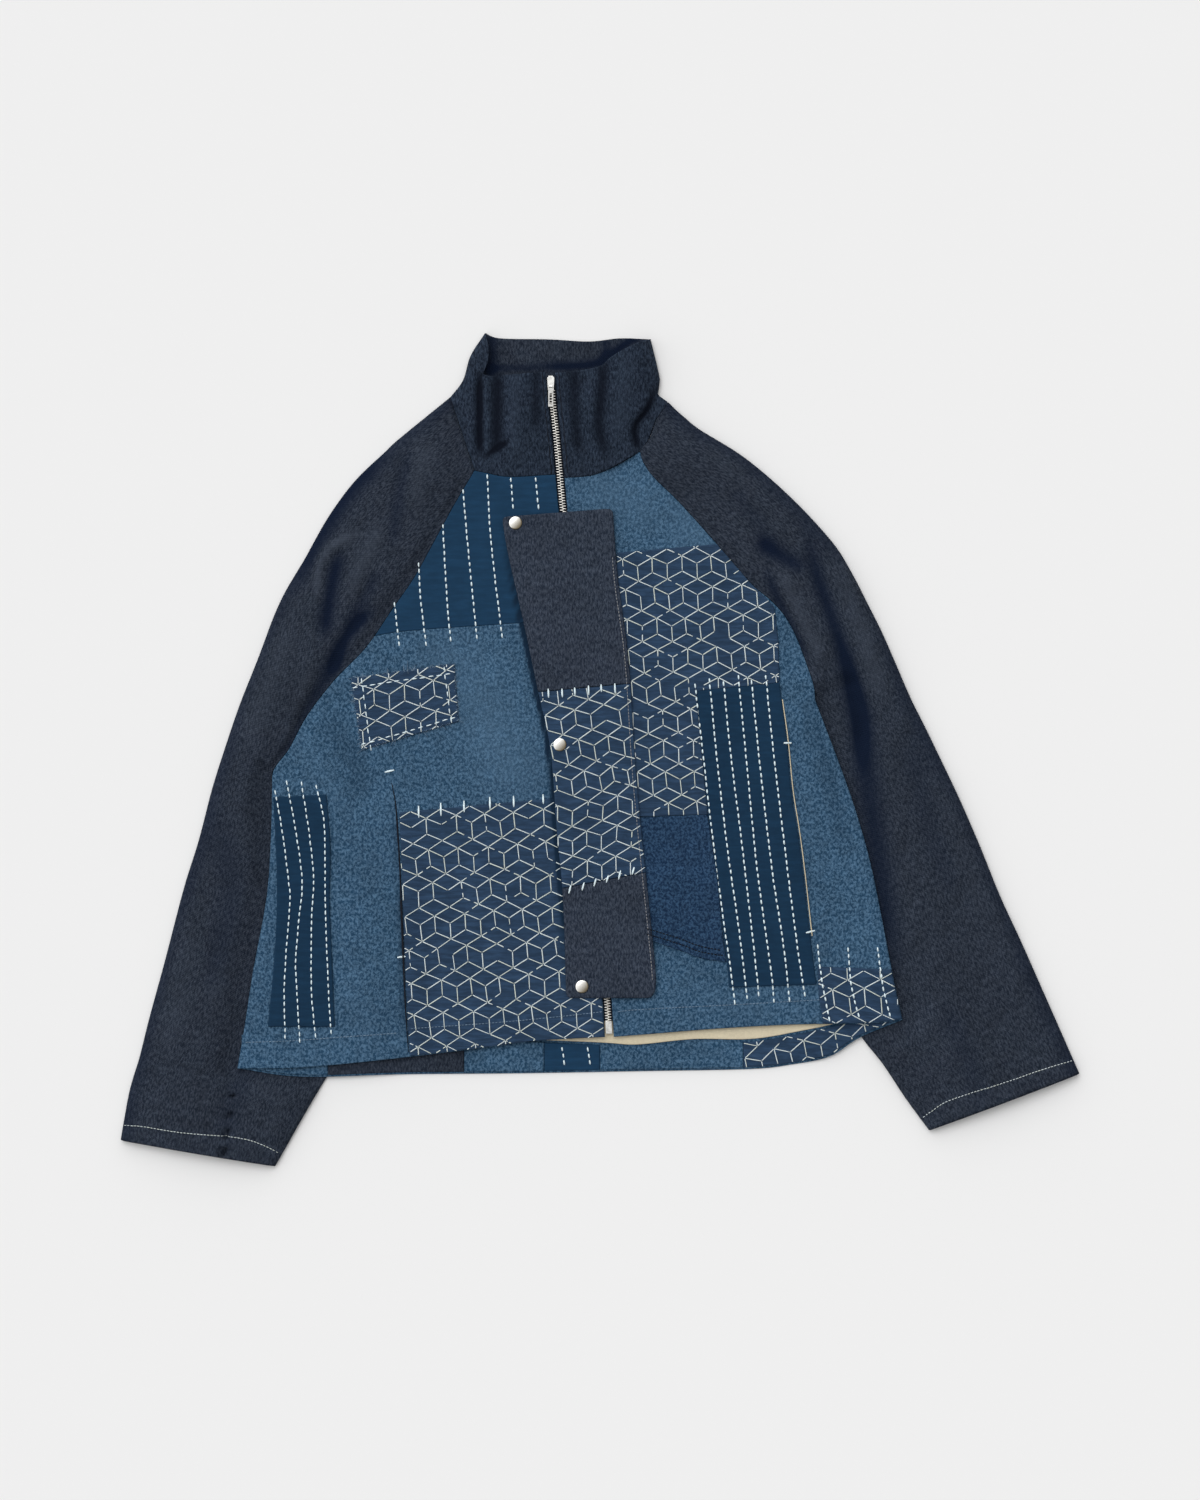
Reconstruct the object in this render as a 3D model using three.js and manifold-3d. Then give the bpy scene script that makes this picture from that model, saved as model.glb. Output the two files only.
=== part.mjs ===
// A patched boro jacket, laid flat on a table with its front up.
//
// Millimetres, +Z up. The collar points along +Y, the wearer's left arm along +X, and the origin is
// on the table under the middle of the whole jacket. "right" and "left" in names are the wearer's.
//
// Layers, from the table up: sleeves, back panel, lining and hem facing, fronts, patches, placket.
// Each layer is a wall whose height is a function of x and y, sampled on one grid of nodes that all
// layers share, so that a layer moved up by a fixed step stays clear of the one below it. A piece is
// its layer cut to the piece's outline.

import * as THREE from 'three';
import { mergeVertices } from 'three/addons/utils/BufferGeometryUtils.js';
import Module from 'manifold-3d';

const wasm = await Module();
wasm.setup();

// ---------------------------------------------------------------- driving dimensions

const CLOTH = 1.4;                  // wall of one layer of denim
const LINING = 1.0;                 // wall of the lining
const PLACKET = 2.0;                // the placket is double cloth
const GAP = 0.3;                    // clear space between any two pieces
const LIFT = CLOTH + GAP;           // from a panel to the patch that lies on it

const SLEEVE_SLIT = 0.5;            // between the two layers of a pressed sleeve
const SLEEVE_STACK = 2 * CLOTH + SLEEVE_SLIT + GAP;   // the body is raised by this over a sleeve
const SLEEVE_PUFF = 2.6;            // how far the top of a sleeve swells
const STACK_FADE = [-100, -60];     // the body comes down to the table over this band, inside a sleeve
const BODY_PUFF = [0.2, 1.7];       // extra height of the fronts at the side and in the middle
const BODY_PUFF_REACH = 60;
const FRONT_BASE = 2 * LIFT;        // fronts lie above the back and its facing
const FACING_INSET = 2.2;           // the hem facing ends this far inside the edge of the back panel,
const LINING_INSET = 3;             // and the lining this far
const LINING_TOP = -60;             // the lining is made as far up as it can be seen from the hem
const PATCH_INSET = 0.6;            // patches end this far inside the edge of a front

const SLEEVE_FRACTIONS = [1, 0.78, 0.56, 0.36, 0.17];   // points of a sleeve's section, from its inner edge
const COVERED_SWELL = 0.4;          // of a sleeve's width swells where the body covers the rest
const FOLD_WIDTH = 3;               // the layers of a sleeve come together over this width at its fold
const FOLD_TURN = [0.7, 0.3];       // where the outer face turns: distance from the fold, share of its height
const FOLD_INSIDE = 1.6;            // distance from the fold to the inner face
const FOLD_INSIDE_TURN = 2.2;       // and to where the inner face turns

const COLLAR_RISE = 7.5;            // the front of the collar stands up towards its top edge
const COLLAR_REACH = 72;
const COLLAR_SIDES = [-4, 16];      // it comes down to the table over this band at its sides
const COLLAR_ROLL = 3.5;            // height of the roll at the collar's left
const COLLAR_ROLL_START = [-20, 20];   // the roll grows over this band of x,
const COLLAR_ROLL_EDGE = [-2, 5];   // and over this one beside its own line
const COLLAR_PLEAT = 3.2;           // height of the standing pleat at the collar's right
const COLLAR_PLEAT_X = -106.5;
const COLLAR_PLEAT_WIDTH = 4.5;
const COLLAR_PLEAT_FADE = [268, 300];   // the pleat grows over this band of y

const ZIP_HALF = 2.95;              // half the width of the closed chain
const ZIP_GAP = 0.35;
const ZIP_TOP = 340;
const ZIP_BOTTOM = -257;
const TAPE_WIDTH = 11;
const TAPE = 0.7;
const CHAIN_HALF_HEIGHT = 0.9;
const END_BOX_LENGTH = 12;
const END_BOX_HEIGHTS = [-1.2, 2];  // over the cloth's underside

// The slider has a frame of its own: x across the zip, y up it, z out of the cloth.
const SLIDER_HALF = [3.3, 6.8];
const SLIDER_PLATE = 1.2;
const SLIDER_CORNER = [1.5, 2];     // cut from its upper corners
const SLIDER_TAPER = 0.6;           // narrower by this on each side at its lower end
const SLIDER_CORE = 2.3;            // half the width of the block between its plates
const SLIDER_CORE_DEPTH = 2;
const PIN_PLACE = [0, -3.4, 2.9];
const PIN_RADIUS = 0.55;
const LUG_SPAN = [1.75, 2.6];       // the lugs that hold the pin, across the zip
const LUG_HALF_LENGTH = 1.3;
const LUG_OVER_PIN = 1;
const EYE_RADII = [0.85, 1.4];      // hole and outside of the pull tab's eye
const TAB_HALF = 2.4;
const TAB_NECK = [1.2, 1, 4];       // half width beside the eye, and the ends of the widening
const TAB_END = 19;
const TAB_THICKNESS = 0.9;
const TAB_SLOT = [1.1, 6.5, 17];    // half width and ends
const TAB_REST_TILT = THREE.MathUtils.degToRad(5);

const SNAP_RADIUS = 6.2;
const SNAP_HEIGHT = 2.0;

const GRID_STEP = 42;
const GRID_X = [-356, 300];
const GRID_Y = [-324, 400];
const COLLAR_COLUMNS = [-124, -114, -110, COLLAR_PLEAT_X, -103, -96, 28, 38, 48, 60];
const COLLAR_ROWS = [274, 298, 322, 344, 360, 378];

const DENIM_DARK = { color: 0x2b323f, roughness: 0.9, metalness: 0 };
const DENIM_LIGHT = { color: 0x3a5a74, roughness: 0.9, metalness: 0 };
const DENIM_WORN = { color: 0x243c58, roughness: 0.9, metalness: 0 };
const NAVY_COTTON = { color: 0x203a52, roughness: 0.85, metalness: 0 };
const SASHIKO_CLOTH = { color: 0x2c425a, roughness: 0.9, metalness: 0 };
const BEIGE_COTTON = { color: 0xbeb59c, roughness: 0.9, metalness: 0 };
const NICKEL = { color: 0xc4c6c8, roughness: 0.3, metalness: 1 };
const TAPE_NAVY = { color: 0x1c2430, roughness: 0.9, metalness: 0 };

// ---------------------------------------------------------------- outlines, on the table

// Each row of a sleeve joins a point of its outer fold to a point of its inner edge. The inner edge
// runs along the collar, down the raglan seam to the underarm, and then unseen below the body.
const RIGHT_SLEEVE_ROWS = [
  [[-142, 335], [-119, 265]],
  [[-190, 296], [-138, 233]],
  [[-204, 283], [-155, 202]],
  [[-233, 255], [-176, 164]],
  [[-258, 221], [-198, 132]],
  [[-280, 182], [-222, 97]],
  [[-304, 140], [-252, 66]],
  [[-325, 86], [-278, 32]],
  [[-342, 43], [-294, 2]],
  [[-355, 5], [-311, -27]],
  [[-368, -36], [-285, -59]],
  [[-381, -86], [-242, -116]],
  [[-395, -131], [-220, -179]],
  [[-413, -200], [-223, -245]],
  [[-428, -255], [-239, -283]],
  [[-437, -291], [-258, -309]],
  [[-446, -321], [-279, -344]],
  [[-452, -352], [-296, -374]],
  [[-455, -370], [-308, -395]],
];
const RIGHT_UNDERARM_ROW = 9;
const RIGHT_HEM_ROW = 16;

const LEFT_SLEEVE_ROWS = [
  [[65, 330], [53, 313]],
  [[72, 323], [46, 294]],
  [[80, 316], [38, 283]],
  [[95, 304], [48, 262]],
  [[138, 277], [76, 234]],
  [[182, 239], [111, 195]],
  [[220, 198], [142, 159]],
  [[238, 170], [166, 138]],
  [[253, 141], [182, 116]],
  [[268, 111], [196, 81]],
  [[282, 79], [204, 48]],
  [[295, 49], [195, 2]],
  [[309, 21], [190, -48]],
  [[324, -10], [193, -100]],
  [[342, -48], [201, -147]],
  [[361, -92], [214, -195]],
  [[380, -139], [230, -238]],
  [[399, -180], [247, -271]],
  [[418, -223], [268, -298]],
  [[437, -266], [290, -331]],
  [[455, -307], [312, -361]],
];
const LEFT_NECK_ROW = 2;
const LEFT_UNDERARM_ROW = 10;
const LEFT_HEM_ROW = 18;

const RIGHT_SIDE = [[-311, -27], [-312, -76], [-316, -138], [-329, -209], [-337, -261], [-344, -302]];
const LEFT_SIDE = [[204, 48], [217, 14], [238, -43], [255, -100], [267, -157], [278, -214], [287, -256]];
const RIGHT_HEM = [[-344, -302], [-285, -301], [-190, -292], [-114, -283], [-62, -276], [4, -272]];
const LEFT_HEM = [[13, -272], [38, -270], [114, -264], [190, -260], [256, -259], [287, -256]];
const BACK_HEM = [
  [-344, -302], [-285, -310], [-190, -308], [-76, -307], [38, -305], [142, -303], [180, -299], [218, -291],
  [246, -273], [287, -256],
];
const FACING_TOP = [
  [-344, -270], [-190, -272], [-65, -277], [0, -280], [33, -282], [86, -277], [142, -277], [190, -269],
  [230, -260], [292, -246],
];
const FACING_SEAMS = [-258, -129, -53, 0, 136];

const RIGHT_NECK_SEAM = [[-119, 265], [-109, 263], [-86, 259], [-47, 261]];
const LEFT_NECK_SEAM = [[-35, 258], [-10, 260], [10, 267], [28, 277], [38, 283]];
const BACK_NECK_SEAM = [[-119, 265], [-95, 286], [-40, 298], [10, 294], [38, 283]];
const ZIP_LINE = [[-47, 352], [-45, 332], [-41, 294], [-36, 238], [-24, 114], [-10, -48], [4, -200], [9, -274]];

const COLLAR_RIGHT_SIDE = [[-142, 335], [-130, 351], [-123, 374], [-109, 396]];
const COLLAR_RIGHT_TOP = [[-109, 396], [-105, 380], [-106, 367], [-111, 361], [-107, 355], [-86, 356], [-52, 359]];
const COLLAR_LEFT_TOP = [[-35, 358], [-19, 360], [0, 364], [10, 372], [28, 382], [48, 390]];
const COLLAR_LEFT_SIDE = [[48, 390], [54, 366], [57, 352], [55, 337], [65, 330]];
const COLLAR_BACK_TOP = [[-109, 396], [-95, 391], [-48, 390], [-10, 388], [19, 391], [48, 390]];
const COLLAR_LEFT_ROLL = [[60, 345], [48, 325], [38, 314], [33, 300], [36, 270]];

const YOKE_SEAM = [[-218, 108], [-190, 112], [-142, 116], [-95, 119], [-19, 124]];
const CHEST_PATCH = [[-236, 68], [-138, 82], [-134, 27], [-226, 0]];
const POCKET_PANEL = [
  [-190, -59], [-45, -46], [12, -41], [30, -290], [-62, -290], [-180, -300], [-183, -238], [-187, -142],
];
const SIDE_PATCH = [
  [-309.5, -45], [-259, -42], [-255, -95], [-256, -142], [-254, -190], [-251, -262],
  [-314.5, -262], [-308, -190], [-306, -124],
];
const CHEST_PANEL = [
  [16, 187], [38, 190], [111, 196], [142, 175], [200, 138], [169, 104], [170, 64], [91, 56], [95, 14],
  [102, -61], [20, -65], [-5, -65],
];
const JEANS_PATCH = [
  [20, -65], [102, -61], [107, -90], [112, -124], [116, -171], [120, -201], [95, -197], [76, -190], [40, -178],
];
const STRIPE_PANEL = [
  [91, 56], [170, 64], [176, 8], [181, -38], [187, -76], [193, -114], [199, -171], [205, -222], [122, -225],
  [120, -201], [116, -171], [112, -124], [107, -90], [102, -61], [95, 14],
];
const POCKET_WELT = [
  [172, 48], [176, 48], [185, -38], [196, -114], [203, -176], [200, -176], [193, -114], [182, -38],
];
const CORNER_PATCH = [[206, -205], [276, -207], [300, -230], [296, -280], [211, -280]];

const PLACKET_FREE_EDGE = [
  [-93, 221], [-87, 185], [-72, 119], [-59, 57], [-47, 0], [-41, -76], [-35, -142], [-32, -235],
];
const PLACKET_SEWN_EDGE = [
  [12, 229], [17, 162], [27, 86], [34, -19], [42, -104], [49, -171], [53, -218], [50, -235],
];
const PLACKET_SEAMS = [[[-120, 48], [80, 70]], [[-120, -149], [80, -103]]];
const SNAP_PLACES = [[-80, 215], [-38, 5], [-17, -224]];

// ---------------------------------------------------------------- plane geometry

const vector = ([x, y]) => new THREE.Vector2(x, y);
const pair = (point) => [point.x, point.y];

// A smooth curve through the points, with `steps` chords between each two of them.
function curve(points, steps = 2) {
  return new THREE.SplineCurve(points.map(vector)).getPoints((points.length - 1) * steps).map(pair);
}

const reversed = (points) => [...points].reverse();
const shifted = (points, dx) => points.map(([x, y]) => [x + dx, y]);

// The points of a closed outline, without the ones that repeat.
function closed(...runs) {
  const points = runs.flat();
  return points.filter((point, index) => {
    const next = points[(index + 1) % points.length];
    return Math.hypot(next[0] - point[0], next[1] - point[1]) > 0.2;
  });
}

// An outline moved inwards by a distance, with its corners kept sharp.
function inset(outline, distance) {
  const turn = THREE.ShapeUtils.isClockWise(outline.map(vector)) ? -1 : 1;
  const normals = outline.map((point, index) => {
    const next = outline[(index + 1) % outline.length];
    const [dx, dy] = [next[0] - point[0], next[1] - point[1]];
    const length = Math.hypot(dx, dy);
    return [-dy * turn / length, dx * turn / length];
  });
  return outline.map(([x, y], index) => {
    const [ax, ay] = normals[(index + outline.length - 1) % outline.length];
    const [bx, by] = normals[index];
    const scale = distance / Math.max(0.4, 1 + ax * bx + ay * by);
    return [x + (ax + bx) * scale, y + (ay + by) * scale];
  });
}

// A run of points moved sideways, to its right where the distance is positive.
function moved(points, distance) {
  return points.map(([x, y], index) => {
    const [ax, ay] = points[Math.max(0, index - 1)];
    const [bx, by] = points[Math.min(points.length - 1, index + 1)];
    const length = Math.hypot(bx - ax, by - ay);
    return [x + (by - ay) * distance / length, y - (bx - ax) * distance / length];
  });
}

// The stretch of a falling run between two heights.
function stretch(points, top, bottom) {
  const at = (y) => {
    const next = Math.max(1, points.findIndex((point) => point[1] <= y));
    const [[ax, ay], [bx, by]] = [points[next - 1], points[next]];
    return [ax + (bx - ax) * (y - ay) / (by - ay), y];
  };
  return [at(top), ...points.filter(([, y]) => y < top - 1 && y > bottom + 1), at(bottom)];
}

// Distance from a point to a run of chords, positive on the run's right.
function sideOf(points, x, y) {
  let best = Infinity;
  let sign = 1;
  for (let i = 0; i + 1 < points.length; i += 1) {
    const [ax, ay] = points[i];
    const [dx, dy] = [points[i + 1][0] - ax, points[i + 1][1] - ay];
    const along = THREE.MathUtils.clamp(((x - ax) * dx + (y - ay) * dy) / (dx * dx + dy * dy), 0, 1);
    const distance = Math.hypot(x - ax - along * dx, y - ay - along * dy);
    if (distance < best - 1e-9) {
      best = distance;
      sign = Math.sign((y - ay) * dx - (x - ax) * dy) > 0 ? -1 : 1;
    }
  }
  return best * sign;
}

const smoothstep = (x, from, to) => THREE.MathUtils.smoothstep(x, from, to);
const bump = (x, width) => Math.exp(-((x / width) ** 2));

// ---------------------------------------------------------------- curves that pieces share

const sleeveCurves = (rows) => ({ outer: rows.map((row) => row[0]), inner: rows.map((row) => row[1]) });
const rightSleeve = sleeveCurves(RIGHT_SLEEVE_ROWS);
const leftSleeve = sleeveCurves(LEFT_SLEEVE_ROWS);
const rightRaglan = rightSleeve.inner.slice(0, RIGHT_UNDERARM_ROW + 1);
const leftRaglan = leftSleeve.inner.slice(LEFT_NECK_ROW, LEFT_UNDERARM_ROW + 1);
const rightUnder = rightSleeve.inner.slice(RIGHT_UNDERARM_ROW);
const leftUnder = leftSleeve.inner.slice(LEFT_UNDERARM_ROW);
const rightSide = curve(RIGHT_SIDE, 1);
const leftSide = curve(LEFT_SIDE, 1);
const zipLine = curve(ZIP_LINE, 2);
const rightNeckSeam = curve(RIGHT_NECK_SEAM, 1);
const leftNeckSeam = curve(LEFT_NECK_SEAM, 1);
const frontNeckSeam = [RIGHT_SLEEVE_ROWS[0][0], ...rightNeckSeam, ...leftNeckSeam];
const collarRightSide = curve(COLLAR_RIGHT_SIDE, 1);
const collarLeftSide = curve(COLLAR_LEFT_SIDE, 1);

// ---------------------------------------------------------------- heights of the layers

// The underside of the back panel: on the table, and raised where a sleeve lies below it.
function lowerLay(x, y) {
  const overRight = smoothstep(sideOf(rightUnder, x, y), ...STACK_FADE);
  const overLeft = smoothstep(-sideOf(leftUnder, x, y), ...STACK_FADE);
  return SLEEVE_STACK * Math.max(overRight, overLeft);
}

// How far the front of the collar stands above the fronts: a ramp from the neck seam to the top edge,
// coming down at both sides, with a standing pleat at the right and a soft roll at the left.
function collarLay(x, y) {
  const seamY = y - neckSeamHeight(x);
  if (seamY <= 0) return 0;
  const fromSeam = Math.abs(sideOf(frontNeckSeam, x, y));
  const ramp = COLLAR_RISE * smoothstep(fromSeam, 0, COLLAR_REACH);
  const fromSides = Math.min(Math.abs(sideOf(collarRightSide, x, y)), Math.abs(sideOf(collarLeftSide, x, y)));
  const sides = smoothstep(fromSides, ...COLLAR_SIDES);
  const overRoll = smoothstep(sideOf(COLLAR_LEFT_ROLL, x, y), ...COLLAR_ROLL_EDGE);
  const roll = COLLAR_ROLL * overRoll * smoothstep(x, ...COLLAR_ROLL_START);
  const alongPleat = smoothstep(y, ...COLLAR_PLEAT_FADE);
  const pleat = COLLAR_PLEAT * bump(x - COLLAR_PLEAT_X, COLLAR_PLEAT_WIDTH) * alongPleat;
  return (ramp + roll) * sides + pleat;
}

// Height of the neck seam over the table's x axis, along its chords.
function neckSeamHeight(x) {
  const seam = [...frontNeckSeam, [53, 313], [65, 330]];
  for (let i = 0; i + 1 < seam.length; i += 1) {
    const [[ax, ay], [bx, by]] = [seam[i], seam[i + 1]];
    if (x >= ax && x <= bx) return ay + (by - ay) * (x - ax) / (bx - ax);
  }
  return 335;
}

// The underside of the fronts and of the front of the collar.
function upperLay(x, y) {
  const fromSide = Math.min(Math.abs(sideOf(rightSide, x, y)), Math.abs(sideOf(leftSide, x, y)));
  const [atSide, inMiddle] = BODY_PUFF;
  const puff = THREE.MathUtils.lerp(atSide, inMiddle, smoothstep(fromSide, 0, BODY_PUFF_REACH));
  return lowerLay(x, y) + FRONT_BASE + puff + collarLay(x, y);
}

const raised = (height, by) => (x, y) => height(x, y) + by;

// ---------------------------------------------------------------- solids

function toSolid(geometry) {
  const bare = geometry.clone();
  bare.deleteAttribute('normal');
  bare.deleteAttribute('uv');
  const merged = mergeVertices(bare);
  return new wasm.Manifold(new wasm.Mesh({
    numProp: 3,
    vertProperties: new Float32Array(merged.attributes.position.array),
    triVerts: new Uint32Array(merged.index.array),
  }));
}

function toGeometry(solid) {
  const mesh = solid.getMesh();
  const geometry = new THREE.BufferGeometry();
  geometry.setAttribute('position', new THREE.BufferAttribute(mesh.vertProperties, 3));
  geometry.setIndex(new THREE.BufferAttribute(mesh.triVerts, 1));
  geometry.computeVertexNormals();
  return geometry;
}

// An upright prism over an outline, from one height to another.
function prism(outline, from = -5, to = 60) {
  const shape = new THREE.Shape(outline.map(vector));
  const geometry = new THREE.ExtrudeGeometry(shape, { depth: to - from, bevelEnabled: false });
  return toSolid(geometry.translate(0, 0, from));
}

function gridLines(from, to, extra) {
  const lines = [];
  for (let value = from; value < to + GRID_STEP; value += GRID_STEP) lines.push(value);
  const kept = lines.filter((value) => extra.every((other) => Math.abs(other - value) > GRID_STEP / 3));
  return [...kept, ...extra].sort((a, b) => a - b);
}

const COLUMNS = gridLines(...GRID_X, COLLAR_COLUMNS);
const ROWS = gridLines(...GRID_Y, COLLAR_ROWS);

// The wall between two heights over the whole grid. The bottom's diagonals lie under the top's.
function layer(bottom, top) {
  const [across, up] = [COLUMNS.length, ROWS.length];
  const positions = [];
  for (const height of [bottom, top]) {
    for (const y of ROWS) for (const x of COLUMNS) positions.push(x, y, height(x, y));
  }
  const node = (side, row, column) => side * across * up + row * across + column;
  const index = [];
  const quad = (a, b, c, d) => index.push(a, b, c, a, c, d);
  for (let row = 0; row + 1 < up; row += 1) {
    for (let column = 0; column + 1 < across; column += 1) {
      quad(node(1, row, column), node(1, row, column + 1), node(1, row + 1, column + 1), node(1, row + 1, column));
      quad(node(0, row, column), node(0, row + 1, column), node(0, row + 1, column + 1), node(0, row, column + 1));
    }
  }
  for (let row = 0; row + 1 < up; row += 1) {
    quad(node(0, row, 0), node(1, row, 0), node(1, row + 1, 0), node(0, row + 1, 0));
    const last = across - 1;
    quad(node(0, row, last), node(0, row + 1, last), node(1, row + 1, last), node(1, row, last));
  }
  for (let column = 0; column + 1 < across; column += 1) {
    quad(node(0, 0, column), node(0, 0, column + 1), node(1, 0, column + 1), node(1, 0, column));
    const last = up - 1;
    quad(node(0, last, column), node(1, last, column), node(1, last, column + 1), node(0, last, column + 1));
  }
  return new wasm.Manifold(new wasm.Mesh({
    numProp: 3,
    vertProperties: new Float32Array(positions),
    triVerts: new Uint32Array(index),
  }));
}

const wall = (height, thickness) => layer(height, raised(height, thickness));
const cutTo = (solid, outline, margin = GAP / 2) => solid.intersect(prism(inset(closed(outline), margin)));

// ---------------------------------------------------------------- the jacket

const jacket = new THREE.Group();
jacket.name = 'patched_boro_jacket';

function addMesh(name, geometry, finish, parent = jacket) {
  const mesh = new THREE.Mesh(geometry, new THREE.MeshStandardMaterial(finish));
  mesh.name = name;
  parent.add(mesh);
  return mesh;
}

const addPiece = (name, solid, finish) => addMesh(name, toGeometry(solid), finish);

// ---- back, lining and hem facing

const bodyOutline = closed(
  rightRaglan, rightSide, BACK_HEM, reversed(leftSide), reversed(leftRaglan), reversed(curve(BACK_NECK_SEAM)),
);
addPiece('back_panel', cutTo(wall(lowerLay, CLOTH), bodyOutline), DENIM_LIGHT);

const aboveFacing = closed(FACING_TOP, [[330, LINING_TOP], [-380, LINING_TOP]]);
const lining = wall(raised(lowerLay, LIFT), LINING).intersect(prism(inset(bodyOutline, LINING_INSET)));
addPiece('back_lining', cutTo(lining, aboveFacing), BEIGE_COTTON);

const facingCloths = [DENIM_LIGHT, DENIM_DARK, DENIM_LIGHT, NAVY_COTTON, DENIM_LIGHT, SASHIKO_CLOTH];
const facing = wall(raised(lowerLay, LIFT), CLOTH).intersect(prism(inset(bodyOutline, FACING_INSET)));
const belowLining = closed(FACING_TOP, [[400, -400], [-400, -400]]);
facingCloths.forEach((cloth, index) => {
  const from = FACING_SEAMS[index - 1] ?? -400;
  const to = FACING_SEAMS[index] ?? 400;
  const span = [[from, -400], [to, -400], [to, 0], [from, 0]];
  addPiece(`back_hem_facing_${index + 1}`, cutTo(cutTo(facing, belowLining), span), cloth);
});

// ---- fronts

const zipEdge = ZIP_HALF + ZIP_GAP;
const upperWall = wall(upperLay, CLOTH);
const bodyZip = stretch(zipLine, 250, -272);
const rightFrontOutline = closed(
  rightRaglan, rightSide, RIGHT_HEM, reversed(shifted(bodyZip, -zipEdge)), reversed(rightNeckSeam),
);
const leftFrontOutline = closed(
  leftNeckSeam, leftRaglan, leftSide, reversed(LEFT_HEM), reversed(shifted(bodyZip, zipEdge)),
);

// The strip of a front that turns down over its side, to just above the back panel. `inwards` is 1
// where the front lies on the right of the side's run and -1 where it lies on the left.
function sideFold(side, inwards) {
  const between = layer(raised(lowerLay, LIFT), raised(upperLay, CLOTH / 2));
  const strip = closed(moved(side, inwards * GAP / 2), reversed(moved(side, inwards * (GAP / 2 + CLOTH))));
  return between.intersect(prism(strip));
}

const rightFront = cutTo(upperWall, rightFrontOutline);
const leftFront = cutTo(upperWall, leftFrontOutline);
const rightFold = sideFold(rightSide.slice(1), -1);
const leftFold = sideFold(leftSide.slice(1), 1);

const aboveYokeSeam = closed(YOKE_SEAM, [[100, 420], [-330, 420], [-330, 108]]);
addPiece('right_yoke', cutTo(rightFront, aboveYokeSeam), NAVY_COTTON);
const rightBody = rightFront.subtract(prism(inset(aboveYokeSeam, -GAP / 2)));
addPiece('right_front_body', rightBody.add(rightFold), DENIM_LIGHT);
addPiece('left_front_body', leftFront.add(leftFold), DENIM_LIGHT);

// ---- patches, each made from the points of the front it lies on

const patchWall = wall(raised(upperLay, LIFT), CLOTH);
const rightPatches = patchWall.intersect(prism(inset(rightFrontOutline, PATCH_INSET)));
const leftPatches = patchWall.intersect(prism(inset(leftFrontOutline, PATCH_INSET)));

addPiece('right_chest_patch', cutTo(rightPatches, CHEST_PATCH), SASHIKO_CLOTH);
addPiece('right_pocket_panel', cutTo(rightPatches, POCKET_PANEL), SASHIKO_CLOTH);
addPiece('right_side_patch', cutTo(rightPatches, SIDE_PATCH), NAVY_COTTON);
addPiece('left_chest_panel', cutTo(leftPatches, CHEST_PANEL), SASHIKO_CLOTH);
addPiece('left_jeans_patch', cutTo(leftPatches, JEANS_PATCH), DENIM_WORN);
const besideWelt = leftPatches.subtract(prism(inset(POCKET_WELT, -GAP)));
addPiece('left_stripe_panel', cutTo(besideWelt, STRIPE_PANEL), NAVY_COTTON);
addPiece('left_pocket_welt', cutTo(leftPatches, POCKET_WELT), BEIGE_COTTON);
addPiece('left_corner_patch', cutTo(leftPatches, CORNER_PATCH), SASHIKO_CLOTH);

// ---- placket with its three snaps

const placketOutline = closed(curve(PLACKET_FREE_EDGE), reversed(curve(PLACKET_SEWN_EDGE)));
const placket = cutTo(wall(raised(upperLay, 2 * LIFT), PLACKET), placketOutline);
const [upperSeam, lowerSeam] = PLACKET_SEAMS;
const placketParts = [
  ['placket_top', [...upperSeam, [200, 420], [-200, 420]], DENIM_DARK],
  ['placket_middle', [...lowerSeam, ...reversed(upperSeam)], SASHIKO_CLOTH],
  ['placket_bottom', [[-200, -420], [200, -420], ...reversed(lowerSeam)], DENIM_DARK],
];
for (const [name, part, cloth] of placketParts) addPiece(name, cutTo(placket, part), cloth);

// The highest of the shared grid's nodes around a place: no facet there is higher.
function highestNear(height, x, y, reach) {
  const near = (lines, value) => {
    const below = lines.filter((line) => line <= value - reach).at(-1);
    const above = lines.find((line) => line >= value + reach);
    return lines.filter((line) => line >= below && line <= above);
  };
  return Math.max(...near(COLUMNS, x).flatMap((column) => near(ROWS, y).map((row) => height(column, row))));
}

const snapProfile = [
  [0, 0], [SNAP_RADIUS, 0], [SNAP_RADIUS, 0.5 * SNAP_HEIGHT], [0.86 * SNAP_RADIUS, 0.85 * SNAP_HEIGHT],
  [0.6 * SNAP_RADIUS, SNAP_HEIGHT], [0, SNAP_HEIGHT],
].map(vector);
SNAP_PLACES.forEach(([x, y], index) => {
  const cap = addMesh(`snap_cap_${index + 1}`, new THREE.LatheGeometry(snapProfile, 16), NICKEL);
  const onPlacket = highestNear(upperLay, x, y, SNAP_RADIUS) + 2 * LIFT + PLACKET + GAP;
  cap.rotation.x = Math.PI / 2;
  cap.position.set(x, y, onPlacket);
});

// ---- collar

const collarZip = stretch(zipLine, 351, 264);
const collarRightOutline = closed(
  collarRightSide, curve(COLLAR_RIGHT_TOP, 1), shifted(collarZip, -zipEdge), reversed(rightNeckSeam),
);
const collarLeftOutline = closed(
  curve(COLLAR_LEFT_TOP, 1), collarLeftSide, leftSleeve.inner.slice(0, LEFT_NECK_ROW), reversed(leftNeckSeam),
  reversed(shifted(collarZip, zipEdge)),
);
addPiece('collar_front_right', cutTo(upperWall, collarRightOutline), DENIM_DARK);
addPiece('collar_front_left', cutTo(upperWall, collarLeftOutline), DENIM_DARK);

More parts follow.
